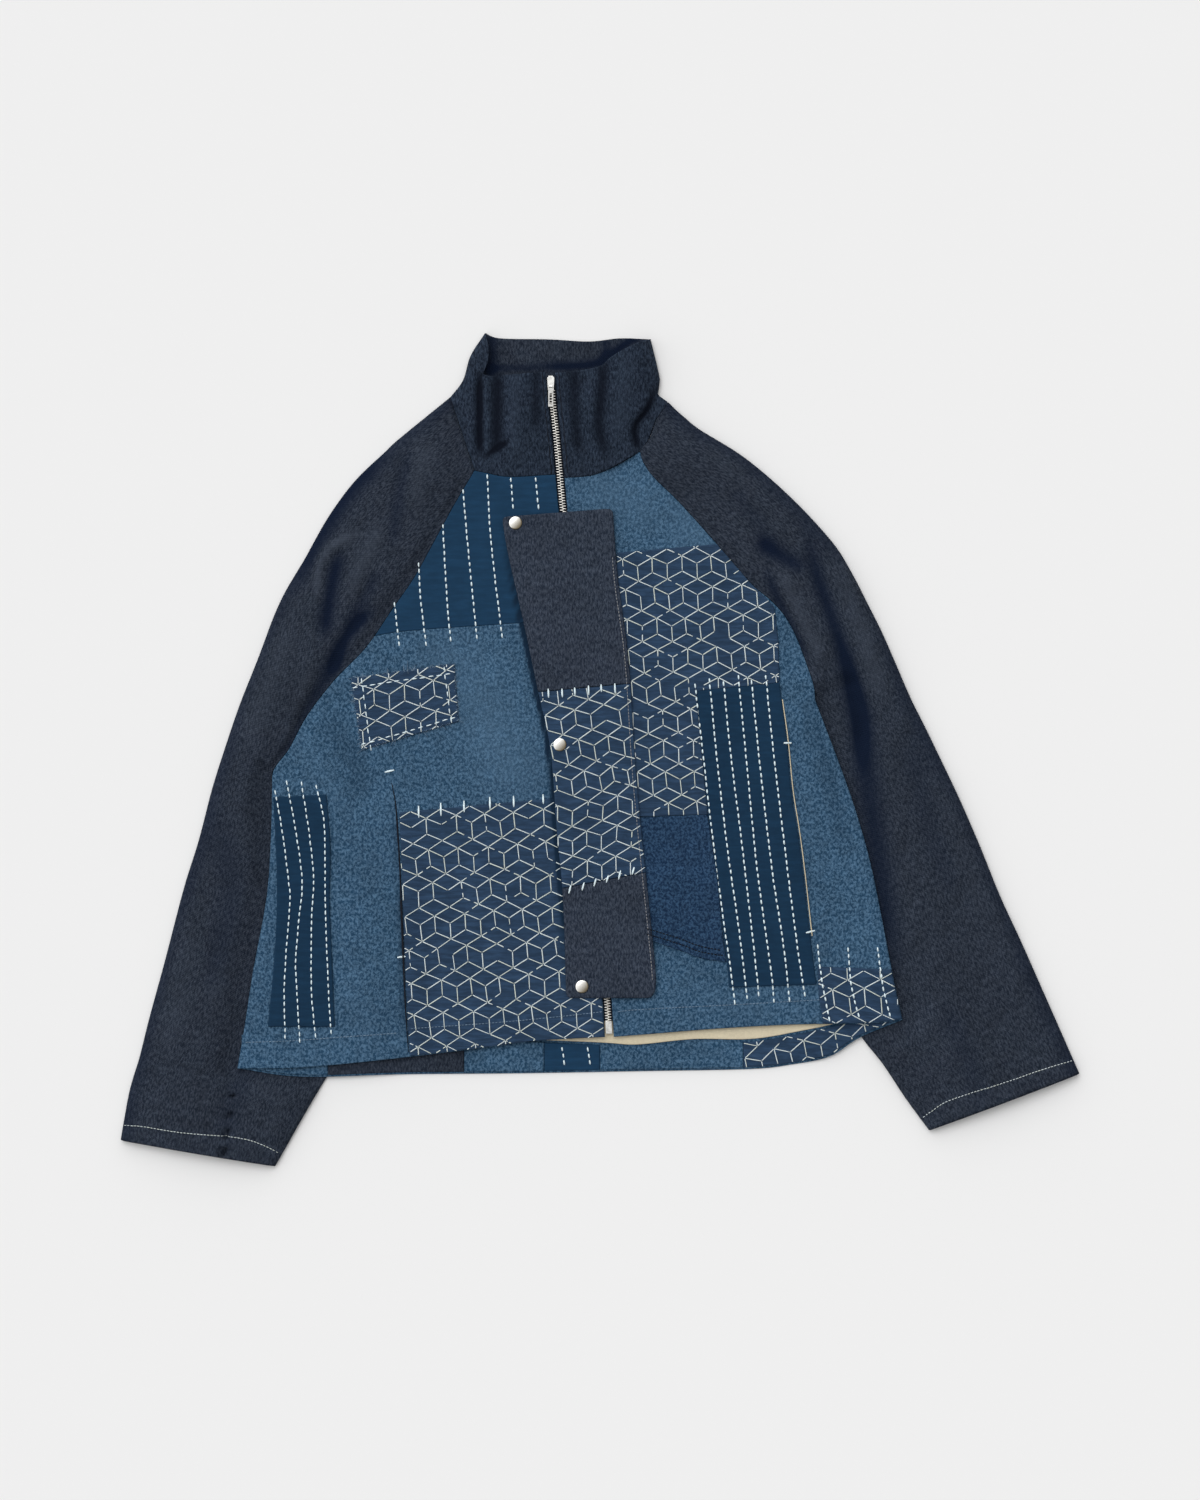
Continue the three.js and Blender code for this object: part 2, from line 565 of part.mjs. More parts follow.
const collarBackOutline = closed(
  collarRightSide, curve(COLLAR_BACK_TOP, 1), collarLeftSide, leftSleeve.inner.slice(0, LEFT_NECK_ROW),
  reversed(curve(BACK_NECK_SEAM)),
);
addPiece('collar_back', cutTo(wall(lowerLay, CLOTH), collarBackOutline), DENIM_DARK);

// ---- sleeves

// The underside of a sleeve's upper layer, at a fraction of the way from its fold to its inner edge.
function sleeveHeight(fraction, innerHeight, swellReach) {
  const swell = fraction < swellReach ? Math.sin(Math.PI * fraction / swellReach) ** 2 : 0;
  const level = THREE.MathUtils.lerp(CLOTH + SLEEVE_SLIT, innerHeight, smoothstep(fraction, 0.1, 1));
  return level + SLEEVE_PUFF * swell;
}

// One row of a sleeve: the wall's outer face and inner face, from the lower layer's inner edge round
// the fold to the upper layer's. Each is a list of [distance from the fold, height].
function sleeveRow(width, innerHeight, swellReach) {
  const distances = [...SLEEVE_FRACTIONS.map((fraction) => fraction * width), FOLD_WIDTH];
  const height = (distance) => sleeveHeight(distance / width, innerHeight, swellReach);
  const middle = CLOTH + SLEEVE_SLIT / 2;
  const [turnAt, turnShare] = FOLD_TURN;
  const outer = [
    ...distances.map((distance) => [distance, 0]),
    [turnAt, turnShare * middle], [0, middle], [turnAt, (2 - turnShare) * middle],
    ...reversed(distances).map((distance) => [distance, height(distance) + CLOTH]),
  ];
  const inner = [
    ...distances.map((distance) => [distance, CLOTH]),
    [FOLD_INSIDE_TURN, CLOTH], [FOLD_INSIDE, middle], [FOLD_INSIDE_TURN, CLOTH + SLEEVE_SLIT],
    ...reversed(distances).map((distance) => [distance, height(distance)]),
  ];
  return { outer, inner };
}

function sleeveGeometry({ outer, inner }, clear, underarmRow, hemRow) {
  const seam = moved(inner, clear);
  const rows = outer.map((fold, row) => {
    const edge = seam[row];
    const width = Math.hypot(edge[0] - fold[0], edge[1] - fold[1]);
    const joined = row < underarmRow;
    const covered = row >= underarmRow && row <= hemRow;
    const innerHeight = joined ? upperLay(...edge) : CLOTH + SLEEVE_SLIT;
    const section = sleeveRow(width, innerHeight, covered ? COVERED_SWELL : 1);
    const place = ([distance, z]) => {
      const along = distance / width;
      return [fold[0] + (edge[0] - fold[0]) * along, fold[1] + (edge[1] - fold[1]) * along, z];
    };
    return { outer: section.outer.map(place), inner: section.inner.map(place) };
  });
  const around = rows[0].outer.length;
  const positions = rows.flatMap((row) => [...row.outer, ...reversed(row.inner)]).flat();
  const loop = 2 * around;
  const index = [];
  const quad = (a, b, c, d) => index.push(a, b, c, a, c, d);
  for (let row = 0; row + 1 < rows.length; row += 1) {
    for (let k = 0; k < loop; k += 1) {
      const next = (k + 1) % loop;
      quad(row * loop + k, row * loop + next, (row + 1) * loop + next, (row + 1) * loop + k);
    }
  }
  const end = (rows.length - 1) * loop;
  for (let k = 0; k + 1 < around; k += 1) {
    const [a, b, c, d] = [k, k + 1, loop - 2 - k, loop - 1 - k];
    quad(a, d, c, b);
    quad(end + a, end + b, end + c, end + d);
  }
  const geometry = new THREE.BufferGeometry();
  geometry.setAttribute('position', new THREE.Float32BufferAttribute(positions, 3));
  geometry.setIndex(index);
  return geometry;
}

// Turns every triangle round where a mesh encloses a negative volume.
function facingOut(geometry) {
  const { array } = geometry.attributes.position;
  const index = [...geometry.index.array];
  const corner = (k) => new THREE.Vector3().fromArray(array, 3 * index[k]);
  let volume = 0;
  for (let k = 0; k < index.length; k += 3) volume += corner(k).dot(corner(k + 1).cross(corner(k + 2)));
  if (volume < 0) geometry.setIndex(reversed(index));
  geometry.computeVertexNormals();
  return geometry;
}

const sleeves = [
  ['right_sleeve', sleeveGeometry(rightSleeve, GAP, RIGHT_UNDERARM_ROW, RIGHT_HEM_ROW)],
  ['left_sleeve', sleeveGeometry(leftSleeve, -GAP, LEFT_UNDERARM_ROW, LEFT_HEM_ROW)],
];
for (const [name, geometry] of sleeves) addMesh(name, facingOut(geometry), DENIM_DARK);

// ---- zip

const chainRun = stretch(zipLine, ZIP_TOP, ZIP_BOTTOM);
const ribbon = (run, from, to) => closed(shifted(run, from), reversed(shifted(run, to)));
const chainWall = layer(raised(upperLay, -CHAIN_HALF_HEIGHT), raised(upperLay, CHAIN_HALF_HEIGHT));
addPiece('zip_chain', chainWall.intersect(prism(ribbon(chainRun, -ZIP_HALF, ZIP_HALF))), NICKEL);

const tapeWall = layer(raised(upperLay, -GAP - TAPE), raised(upperLay, -GAP));
const tapeStart = ZIP_HALF + GAP;
const tapeEnd = tapeStart + TAPE_WIDTH;
addPiece('zip_tape_right', tapeWall.intersect(prism(ribbon(chainRun, -tapeEnd, -tapeStart))), TAPE_NAVY);
addPiece('zip_tape_left', tapeWall.intersect(prism(ribbon(chainRun, tapeStart, tapeEnd))), TAPE_NAVY);

const boxRun = stretch(zipLine, ZIP_BOTTOM - GAP, ZIP_BOTTOM - END_BOX_LENGTH);
const [boxBottom, boxTop] = END_BOX_HEIGHTS;
const boxWall = layer(raised(upperLay, boxBottom), raised(upperLay, boxTop));
addPiece('zip_end_box', boxWall.intersect(prism(ribbon(boxRun, -ZIP_HALF, ZIP_HALF))), NICKEL);

// ---- slider and pull tab

const sliderY = ZIP_TOP + SLIDER_HALF[1] + GAP;
const [[sliderX]] = stretch(zipLine, sliderY, -200);
const slope = Math.atan2(upperLay(sliderX, sliderY + 8) - upperLay(sliderX, sliderY - 20), 28);
const onCollar = highestNear(upperLay, sliderX, sliderY, 1) + CLOTH + GAP;
const slider = new THREE.Group();
slider.position.set(sliderX, sliderY, onCollar);
slider.rotation.x = slope;
jacket.add(slider);

const block = ([fromX, toX], [fromY, toY], [fromZ, toZ]) => toSolid(
  new THREE.BoxGeometry(toX - fromX, toY - fromY, toZ - fromZ)
    .translate((fromX + toX) / 2, (fromY + toY) / 2, (fromZ + toZ) / 2),
);

// A bar or ring along x, centred on the frame's origin.
function acrossX(radius, length, hole = 0) {
  const shape = new THREE.Shape().absarc(0, 0, radius, 0, 2 * Math.PI, false);
  if (hole) shape.holes.push(new THREE.Path().absarc(0, 0, hole, 0, 2 * Math.PI, true));
  const geometry = new THREE.ExtrudeGeometry(shape, { depth: length, bevelEnabled: false, curveSegments: 8 });
  return toSolid(geometry.translate(0, 0, -length / 2).rotateY(Math.PI / 2));
}

const [halfWidth, halfLength] = SLIDER_HALF;
const [cornerX, cornerY] = SLIDER_CORNER;
const plateShape = [
  [-halfWidth, halfLength - cornerY], [-halfWidth + cornerX, halfLength],
  [halfWidth - cornerX, halfLength], [halfWidth, halfLength - cornerY],
  [halfWidth - SLIDER_TAPER, -halfLength], [-halfWidth + SLIDER_TAPER, -halfLength],
];
const [, pinY, pinZ] = PIN_PLACE;
const lug = (side) => block(
  LUG_SPAN.map((x) => x * side).sort((a, b) => a - b), [pinY - LUG_HALF_LENGTH, pinY + LUG_HALF_LENGTH],
  [SLIDER_PLATE / 2, pinZ + LUG_OVER_PIN],
);
const core = block(
  [-SLIDER_CORE, SLIDER_CORE], [-1, halfLength - 1], [-SLIDER_CORE_DEPTH, SLIDER_PLATE / 2],
);
const sliderSolid = prism(plateShape, 0, SLIDER_PLATE)
  .add(core)
  .add(lug(-1))
  .add(lug(1))
  .add(acrossX(PIN_RADIUS, 2 * LUG_SPAN[0] + 0.4).translate(PIN_PLACE));
addMesh('zip_slider', toGeometry(sliderSolid), NICKEL, slider);

const hinge = new THREE.Group();
hinge.position.set(...PIN_PLACE);
hinge.rotation.x = TAB_REST_TILT;
slider.add(hinge);
const [eyeHole, eyeOutside] = EYE_RADII;
const [neckHalf, neckTop, shoulder] = TAB_NECK;
const [slotHalf, slotTop, slotEnd] = TAB_SLOT;
const tabShape = [
  [-neckHalf, -neckTop], [neckHalf, -neckTop], [TAB_HALF, -shoulder], [TAB_HALF, -TAB_END],
  [-TAB_HALF, -TAB_END], [-TAB_HALF, -shoulder],
];
const eyeLength = 2 * (LUG_SPAN[0] - GAP);
const tabSolid = prism(tabShape, -TAB_THICKNESS / 2, TAB_THICKNESS / 2)
  .add(acrossX(eyeOutside, eyeLength))
  .subtract(acrossX(eyeHole, eyeLength + 1))
  .subtract(block([-slotHalf, slotHalf], [-slotEnd, -slotTop], [-1, 1]));
addMesh('zip_pull_tab', toGeometry(tabSolid), NICKEL, hinge);

export default jacket;
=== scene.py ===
"""A patched boro jacket, laid flat on a table with its front up.

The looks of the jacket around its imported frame. Lengths are millimetres until a mesh is written, +Z is
up, the collar points along +Y and the wearer's left arm along +X. "right" and "left" are the wearer's.

Every piece of cloth is a closed sheet over a grid of two parameters, lifted by a height that is a
function of x and y, so layers follow each other. Threads are thin tubes carried along short paths that
lie on the cloth below them.
"""

from functools import partial

import bpy
import numpy as np
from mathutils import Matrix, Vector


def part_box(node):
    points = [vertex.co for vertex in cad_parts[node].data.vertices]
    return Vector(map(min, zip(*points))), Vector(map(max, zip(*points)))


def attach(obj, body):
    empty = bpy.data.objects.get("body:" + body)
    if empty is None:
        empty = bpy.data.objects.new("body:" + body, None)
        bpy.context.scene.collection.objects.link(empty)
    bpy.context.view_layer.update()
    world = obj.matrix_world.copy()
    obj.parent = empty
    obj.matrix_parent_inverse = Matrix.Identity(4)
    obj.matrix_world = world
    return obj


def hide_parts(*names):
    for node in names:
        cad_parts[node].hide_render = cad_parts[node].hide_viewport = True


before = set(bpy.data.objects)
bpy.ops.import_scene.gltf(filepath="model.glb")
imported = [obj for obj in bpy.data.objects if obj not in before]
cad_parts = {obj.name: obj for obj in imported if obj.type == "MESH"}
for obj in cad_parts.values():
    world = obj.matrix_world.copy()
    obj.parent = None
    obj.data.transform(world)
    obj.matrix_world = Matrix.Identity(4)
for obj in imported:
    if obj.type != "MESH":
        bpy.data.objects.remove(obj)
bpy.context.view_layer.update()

bl_info = {
    "name": "Patched Boro Jacket",
    "version": (1, 0, 0),
    "blender": (4, 5, 0),
    "location": "View3D > Sidebar > Boro",
    "description": "Cloth, patches, hand stitching and metal parts of a patched denim jacket",
    "category": "Mesh",
}

MM = 0.001
BODY = "jacket"
SEED = 7
FLOOR_HALF, FLOOR_LEVEL = 6000, -0.3

# ------------------------------------------------------------------ cloth and how it lies

CLOTH = 1.4                 # wall of one layer
LINING = 1.0
PLACKET = 2.0
COLLAR = 1.6
GAP = 0.3                   # clear space between two layers
LIFT = CLOTH + GAP          # from a panel to the patch that lies on it
CELL = 4.0                  # size of a grid cell on a panel
EDGE_LINES = (0.0, 0.3, 0.9, 2.0)       # distances of the grid lines that round a cut edge
EDGE_FULLNESS = (0.0, 0.66, 0.95, 1.0)  # share of the wall's thickness there

SLEEVE_STACK = 3.6          # the body is raised by this over a sleeve
STACK_FADE = (-70, -12)     # it comes down to the table over this band, inside the sleeve
SLEEVE_PUFF = 6.5           # how far the top of a sleeve swells
SLEEVE_FOLD = 5.5           # radius of a sleeve's rounded folds
SLEEVE_SLIT = 0.1           # air left inside a sleeve's folds
SLEEVE_FLAT = 3.3           # height of a sleeve that the body presses flat
SLEEVE_OPEN = 2.2           # a sleeve stands this much higher where nothing covers it
SLEEVE_LEAST = 3.2          # the lowest that its top may be
FOLD_TOP = 5.2              # the middle of a fold is no higher than half of this
OPEN_BAND = (1.5, 26)       # a sleeve opens out over this band beside the body
NECK_BAND = (2, 30)         # and is calmed near the collar, by this share
NECK_CALM = 0.85
SLEEVE_RIPPLE = 1.3
# Painted shade along the rounded fold at a sleeve's outer edge, and the width it fades over.
RIM_SHADE, RIM_WIDTH = 0.55, 12
CUFF_HEM = 15.0
CUFF_STEP = 0.7

FRONT_BASE = 2 * LIFT
SIDE_ROLL = 8.0             # a front turns down to the back over this width at its side
BODY_PUFF = (0.6, 2.6)
BODY_PUFF_REACH = 80
BODY_RIPPLE = 0.5

COLLAR_RISE = 6.5
COLLAR_REACH = 72
COLLAR_SIDE = 16
COLLAR_ROLL = 3.5
COLLAR_CELL, BACK_COLLAR_CELL, BACK_CELL = 2.6, 3.5, 5.5

ZIP_EDGE = 4.2
ZIP_TOP = 340
ZIP_BOTTOM = -257
TOOTH_PITCH = 2.6
TAPE = 0.7
TAPE_WIDTH = 11
TAPE_INNER = 1.2            # from the middle of the zip to a tape
TEETH_HEIGHT = 1.1
TOOTH_ACROSS = (3.0, 1.95, 0.75, -0.35)     # places across the zip of a tooth's rings, and their radii
TOOTH_RADII = (0.55, 0.62, 0.62, 0.74)
METAL_BEVEL = 0.00028       # metres
METAL_WELD = 0.00002

# A snap cap's radius and height at each ring, from its rim to its top.
SNAP_PROFILE = [
    (5.6, 0.0), (6.1, 0.12), (6.25, 0.4), (6.22, 0.8), (6.0, 1.15), (5.6, 1.36), (5.0, 1.47), (4.4, 1.54),
    (3.8, 1.61), (3.2, 1.67), (2.2, 1.74), (1.2, 1.78), (0.4, 1.8),
]
SNAP_SIDES = 40
SNAP_SINK = 0.1             # a cap's rim is this far in the cloth
# Painted reflection: a cap's colour is bright on the side that turns this way, and dark bronze on the other.
REFLECTION_TOWARD = (-0.6, 0.5)  # a cap is brightest on the side that turns this way

# ------------------------------------------------------------------ outlines on the table

RIGHT_SLEEVE = [
    [(-142, 335), (-119, 265)], [(-190, 296), (-138, 233)], [(-204, 283), (-155, 202)],
    [(-233, 255), (-176, 164)], [(-258, 221), (-198, 132)], [(-280, 182), (-222, 97)],
    [(-304, 140), (-252, 66)], [(-325, 86), (-278, 32)], [(-342, 43), (-294, 2)],
    [(-355, 5), (-311, -27)], [(-368, -36), (-285, -59)], [(-381, -86), (-242, -116)],
    [(-395, -131), (-220, -179)], [(-413, -200), (-223, -245)], [(-428, -255), (-239, -283)],
    [(-437, -291), (-258, -309)], [(-446, -321), (-279, -344)], [(-452, -352), (-296, -374)],
    [(-455, -370), (-308, -395)],
]
LEFT_SLEEVE = [
    [(65, 330), (53, 313)], [(72, 323), (46, 294)], [(80, 316), (38, 283)], [(95, 304), (48, 262)],
    [(138, 277), (76, 234)], [(182, 239), (111, 195)], [(220, 198), (142, 159)], [(238, 170), (166, 138)],
    [(253, 141), (182, 116)], [(268, 111), (196, 81)], [(282, 79), (204, 48)], [(295, 49), (195, 2)],
    [(309, 21), (190, -48)], [(324, -10), (193, -100)], [(342, -48), (201, -147)],
    [(361, -92), (214, -195)], [(380, -139), (230, -238)], [(399, -180), (247, -271)],
    [(418, -223), (268, -298)], [(437, -266), (290, -331)], [(455, -307), (312, -361)],
]
RIGHT_UNDERARM_ROW = 9
LEFT_UNDERARM_ROW = 10
LEFT_NECK_ROW = 2

RIGHT_SIDE = [(-344, -302), (-337, -261), (-329, -209), (-316, -138), (-312, -76), (-311, -27)]
LEFT_SIDE = [(287, -256), (278, -214), (267, -157), (255, -100), (238, -43), (217, 14), (204, 48)]
RIGHT_HEM = [(-344, -302), (-285, -301), (-190, -292), (-114, -283), (-62, -276), (6, -272)]
LEFT_HEM = [(12, -272), (38, -270), (114, -264), (190, -260), (256, -259), (287, -256)]
BACK_HEM = [
    (-344, -302), (-285, -310), (-190, -308), (-76, -307), (38, -305), (142, -303), (180, -299),
    (218, -291), (246, -273), (287, -256),
]
FACING_TOP = [
    (-344, -270), (-190, -272), (-65, -277), (0, -280), (33, -282), (86, -277), (142, -277),
    (190, -269), (230, -260), (287, -246),
]
FACING_SEAMS = [-340, -258, -129, -53, 0, 136, 280]
LINING_TOP = -60

RIGHT_NECK = [(-119, 265), (-109, 263), (-86, 259), (-47, 261), (-42, 261)]
LEFT_NECK = [(-35, 258), (-10, 260), (10, 267), (28, 277), (38, 283)]
BACK_NECK = [(-119, 265), (-95, 286), (-40, 298), (10, 294), (38, 283)]
ZIP_LINE = [(9, -274), (4, -200), (-10, -48), (-24, 114), (-36, 238), (-41, 294), (-45, 332), (-47, 360)]

COLLAR_RIGHT_SIDE = [(-142, 335), (-130, 351), (-123, 374), (-109, 396)]
COLLAR_RIGHT_TOP = [(-109, 396), (-105, 380), (-106, 367), (-111, 361), (-107, 355), (-86, 356), (-50, 359)]
COLLAR_LEFT_TOP = [(-43, 358), (-19, 360), (0, 364), (10, 372), (28, 382), (48, 390)]
COLLAR_LEFT_SIDE = [(65, 330), (55, 337), (57, 352), (54, 366), (48, 390)]
COLLAR_BACK_TOP = [(-109, 396), (-95, 391), (-48, 390), (-10, 388), (19, 391), (48, 390)]
COLLAR_LEFT_ROLL = [(60, 345), (48, 325), (38, 314), (33, 300), (36, 270)]

YOKE_SEAM = [(-214, 108), (-190, 112), (-142, 116), (-95, 119), (-28, 124)]
CHEST_PATCH = [(-226, 0), (-134, 27), (-138, 82), (-236, 68)]
POCKET_TOP = [(-190, -59), (-45, -46), (-13, -43)]
POCKET_LEFT = [(-180, -290), (-183, -238), (-187, -142), (-190, -59)]
SIDE_PATCH_LEFT = [(-314.5, -262), (-308, -190), (-306, -124), (-309.5, -45)]
SIDE_PATCH_RIGHT = [(-251, -262), (-254, -190), (-256, -142), (-255, -95), (-259, -42)]
CHEST_PANEL_ROWS = [
    [(-5, -65), (102, -61)], [(0, 30), (95, 14)], [(2, 50), (91, 56)], [(5, 68), (170, 64)],
    [(8, 104), (169, 104)], [(11, 136), (165, 136)], [(14, 161), (142, 159)], [(16, 187), (111, 195)],
]
JEANS_BOTTOM = [(40, -178), (76, -190), (95, -197), (120, -201)]
JEANS_LEFT = [(40, -178), (20, -65)]
JEANS_TOP = [(20, -65), (102, -61)]
STRIPE_LEFT = [
    (122, -225), (120, -201), (116, -171), (112, -124), (107, -90), (102, -61), (95, 14), (91, 56),
]
STRIPE_RIGHT = [(205, -222), (199, -176), (192, -114), (187, -76), (181, -38), (177, 8), (170, 64)]
WELT = [(172, 48), (177.5, 8), (182, -38), (188, -76), (193, -114), (200, -176)]
WELT_WIDTH = 1.3
CORNER_LEFT = [(211, -259), (207, -228), (206, -205)]
CORNER_TOP = [(206, -205), (276, -208)]

PLACKET_FREE_EDGE = [
    (-32, -235), (-35, -142), (-41, -76), (-47, 0), (-59, 57), (-72, 119), (-87, 185), (-93, 221),
]
PLACKET_SEWN_EDGE = [
    (50, -235), (53, -218), (49, -171), (42, -104), (34, -19), (27, 86), (17, 162), (12, 229),
]
PLACKET_SEAMS = [[(-58, 55), (27, 63)], [(-36, -131), (43, -116)]]
PLACKET_CORNER = 5.0

# ------------------------------------------------------------------ creases
# Each is a run with its width, its height and its painted shade: 1 is the navy painted as shade in a crease,
# and below 0 a paler colour is painted along a lit ridge.

COLLAR_CREASES = [
    # The collar's front fold: a painted highlight on its rim, painted shade in the trough to its right and a
    # painted shadow to its left.
    ([(-107.5, 360), (-107.5, 276)], 2.2, 1.8, -0.7),
    ([(-97, 362), (-98, 280)], 7.5, -2.2, 0.95),
    ([(-114, 362), (-114, 274)], 4.5, -2.4, 1.2),
    ([(-111, 275), (-104, 282), (-95, 287), (-84, 294)], 3.0, -1.0, 0.9),
    ([(5, 376), (1, 335), (-1, 306), (8, 272)], 6.5, -1.6, 0.9),
    ([(-24, 372), (-24, 320), (-19, 275)], 6.0, -1.2, 0.8),
    ([(54, 346), (44, 322), (34, 309), (33, 299), (39, 280)], 3.6, -1.4, 1.1),
    ([(-80, 366), (-82, 300), (-75, 270)], 7.0, 0.9, -0.35),
    ([(-61, 368), (-60, 300)], 5.5, -0.8, 0.7),
    ([(25, 375), (22, 330), (14, 290)], 9.0, 0.8, -0.3),
    ([(-8, 372), (-9, 300)], 4.0, 0.6, -0.25),
]
INNER_COLLAR_CREASES = [
    ([(-102, 402), (-104, 340)], 6.0, -0.8, 0.9),
    ([(5, 402), (6, 340)], 4.5, -0.8, 0.8),
    # These two have no height: they are painted shadow that the top edges of the collar's front cast on its
    # back.
    ([(-70, 364), (-19, 365), (3, 370), (28, 388), (60, 402)], 5.0, 0.0, 1.1),
    ([(-140, 362), (-52, 363)], 3.5, 0.0, 0.8),
]
RIGHT_SLEEVE_CREASES = [
    ([(-200, 284), (-240, 240), (-270, 192), (-288, 150)], 11.0, -1.0, 0.5),
    ([(-226, 206), (-252, 194), (-266, 172), (-266, 140)], 5.0, 2.4, -1.0),
    ([(-246, 190), (-255, 152), (-262, 105)], 8.0, -3.0, 1.0),
    ([(-180, 285), (-190, 237), (-198, 190)], 8.0, -1.6, 0.5),
    ([(-212, 170), (-240, 112)], 8.0, -2.0, 0.6),
    ([(-214, 135), (-242, 105), (-256, 70)], 6.0, -2.4, 1.0),
    ([(-205, 215), (-222, 180), (-236, 140)], 8.0, 1.5, -0.6),
    ([(-270, 80), (-286, 40), (-300, 0)], 6.0, 1.2, -0.5),
    ([(-238, 105), (-285, 26), (-300, -20)], 10.0, -1.6, 0.7),
    ([(-160, 290), (-172, 262), (-176, 230)], 9.0, 1.4, -0.4),
    ([(-290, 120), (-318, 60), (-335, 0)], 12.0, 1.0, -0.3),
    ([(-360, -60), (-350, -140), (-372, -230)], 14.0, -1.3, 0.35),
    ([(-390, -150), (-400, -230), (-420, -300)], 13.0, 1.2, -0.25),
    ([(-330, -290), (-350, -340), (-352, -370)], 12.0, -1.2, 0.3),
    ([(-300, -330), (-318, -368)], 8.0, 1.0, -0.2),
]
LEFT_SLEEVE_CREASES = [
    ([(150, 198), (190, 172)], 9.0, -2.0, 0.9),
    ([(156, 175), (168, 145), (185, 112), (200, 80)], 6.0, -2.4, 0.8),
    ([(192, 220), (204, 170), (218, 129), (235, 79), (246, 32), (250, -30)], 8.0, -3.2, 0.9),
    ([(225, 110), (246, 32), (252, -20), (262, -90), (270, -150), (282, -230)], 13.0, -2.4, 0.8),
    ([(170, 175), (188, 130), (212, 80)], 8.0, 2.2, -0.6),
    ([(225, 190), (248, 120), (268, 40)], 11.0, 1.8, -0.6),
    ([(125, 250), (150, 215), (165, 185)], 9.0, -1.0, 0.3),
    ([(290, 20), (310, -60), (335, -140)], 13.0, -1.2, 0.3),
    ([(320, -20), (352, -110), (385, -190)], 13.0, 1.2, -0.2),
    ([(325, -240), (352, -300), (362, -340)], 12.0, -1.2, 0.3),
    ([(100, 285), (128, 262), (150, 236)], 8.0, 1.0, -0.25),
]
FRONT_CREASES = [
    # Painted shadow under the placket's lifted free edge.
    ([(x - 1.5, y) for x, y in PLACKET_FREE_EDGE], 2.6, -0.4, 1.8),
    # These two have no height: they are painted light, paler pools on the chest and below the neck.
    ([(-150, 95), (-110, 40), (-75, -30)], 40.0, 0.0, -0.3),
    ([(-10, 250), (60, 225), (110, 200)], 30.0, 0.0, -0.35),
    ([(-290, 10), (-262, -20), (-240, -60)], 12.0, 1.4, -0.15),
    ([(-262, 30), (-235, -5), (-222, -50)], 12.0, -1.4, 0.3),
    ([(190, 60), (205, 20), (222, -40), (236, -110)], 10.0, -1.2, 0.3),
    ([(190, 90), (214, 36), (232, -20), (250, -90)], 7.0, 1.0, -0.15),
    ([(-120, 60), (-90, -10), (-70, -30)], 18.0, 0.9, -0.1),
    # Painted shade in the pocket's slit.
    ([(-200, -40), (-192, -90), (-188, -200), (-186, -285)], 3.0, -0.5, 0.6),
    ([(-240, -200), (-225, -250), (-215, -290)], 14.0, 1.0, -0.1),
    ([(60, -210), (120, -240), (170, -255)], 12.0, 0.8, -0.1),
    ([(55, 240), (62, 218), (50, 200)], 12.0, -0.6, 0.15),
]

# ------------------------------------------------------------------ hand stitching

STITCH_PITCH = 6.3
STITCH_LENGTH = 4.1
STITCH_RADIUS = 0.78
STITCH_SIZES = (0.88, 1.1)  # stitches are this much shorter and longer than the usual one
STITCH_SLIP = 0.3           # pitches that a stitch is early or late, and shifts of its whole path
STITCH_SHIFT = 0.5
STITCH_ARCH, STITCH_DIP = 0.9, 0.15     # radii that a stitch rises in its middle and dips at its ends
STITCH_NECK, STITCH_SWELL = 0.55, 0.45  # share of its radius at its ends, and the rest in its middle
SIDE_STITCH_RADIUS = 0.68
YOKE_ROWS = [
    [(-195, 140), (-190, 97)], [(-172, 178), (-170, 143), (-164, 93)],
    [(-149, 214), (-145, 142), (-141, 100)], [(-130, 247), (-124, 180), (-116, 100)],
    [(-107, 261), (-103, 195), (-92, 101)],
    [(-84.5, 258), (-82, 226)], [(-61, 258), (-58, 227)],
]
SIDE_ROWS = [
    [(-308, -38), (-301, -76), (-295, -123), (-293.5, -143), (-297, -190), (-299, -230), (-298, -280)],
    [(-297, -29), (-289, -71), (-282, -123), (-285, -160), (-288, -199), (-287, -228), (-284, -280)],
    [(-283, -30), (-275, -81), (-271, -123), (-273, -160), (-273, -228), (-269, -275)],
    [(-269, -33), (-261, -71), (-260, -143), (-257, -228), (-254, -274)],
]
STRIPE_ROWS = [
    [(90, 63), (96, 10), (106, -76), (117, -161), (122, -195), (128, -242)],
    [(103.5, 68), (111, -10), (121, -95), (133, -180), (140, -240)],
    [(117, 65), (124, -5), (134, -85), (146, -190), (151, -237)],
    [(131, 71), (140, -24), (149, -114), (162, -209), (165, -240)],
    [(143.5, 66), (152, -19), (163, -114), (173, -180), (180, -240)],
    [(157, 71), (163, 10), (174, -85), (186, -180), (195, -238)],
]
CORNER_ROWS = [
    [(206, -184), (210, -218), (217.5, -257)], [(235, -187), (238, -223), (246, -256)],
    [(263, -187), (268, -224), (275, -254)],
]
FACING_ROWS = [[(-36, -282), (-33, -304)], [(-12, -282), (-8.5, -303)]]
CHEST_STITCH = {"pitch": 8.0, "stitch": 5.0, "radius": 0.62}
CHEST_PATCH_ROWS = [
    [(-234, 59), (-138, 73)], [(-226, 5), (-134, 32)], [(-226, 68), (-217, -1)], [(-148, 79), (-140, 20)],
]
POCKET_WHIPS = [(-172, -53, -64), (-151, -50, -62.5), (-129, -48, -59), (-104.5, -44.5, -56),
                (-82, -43.5, -54), (-54, -42, -51)]
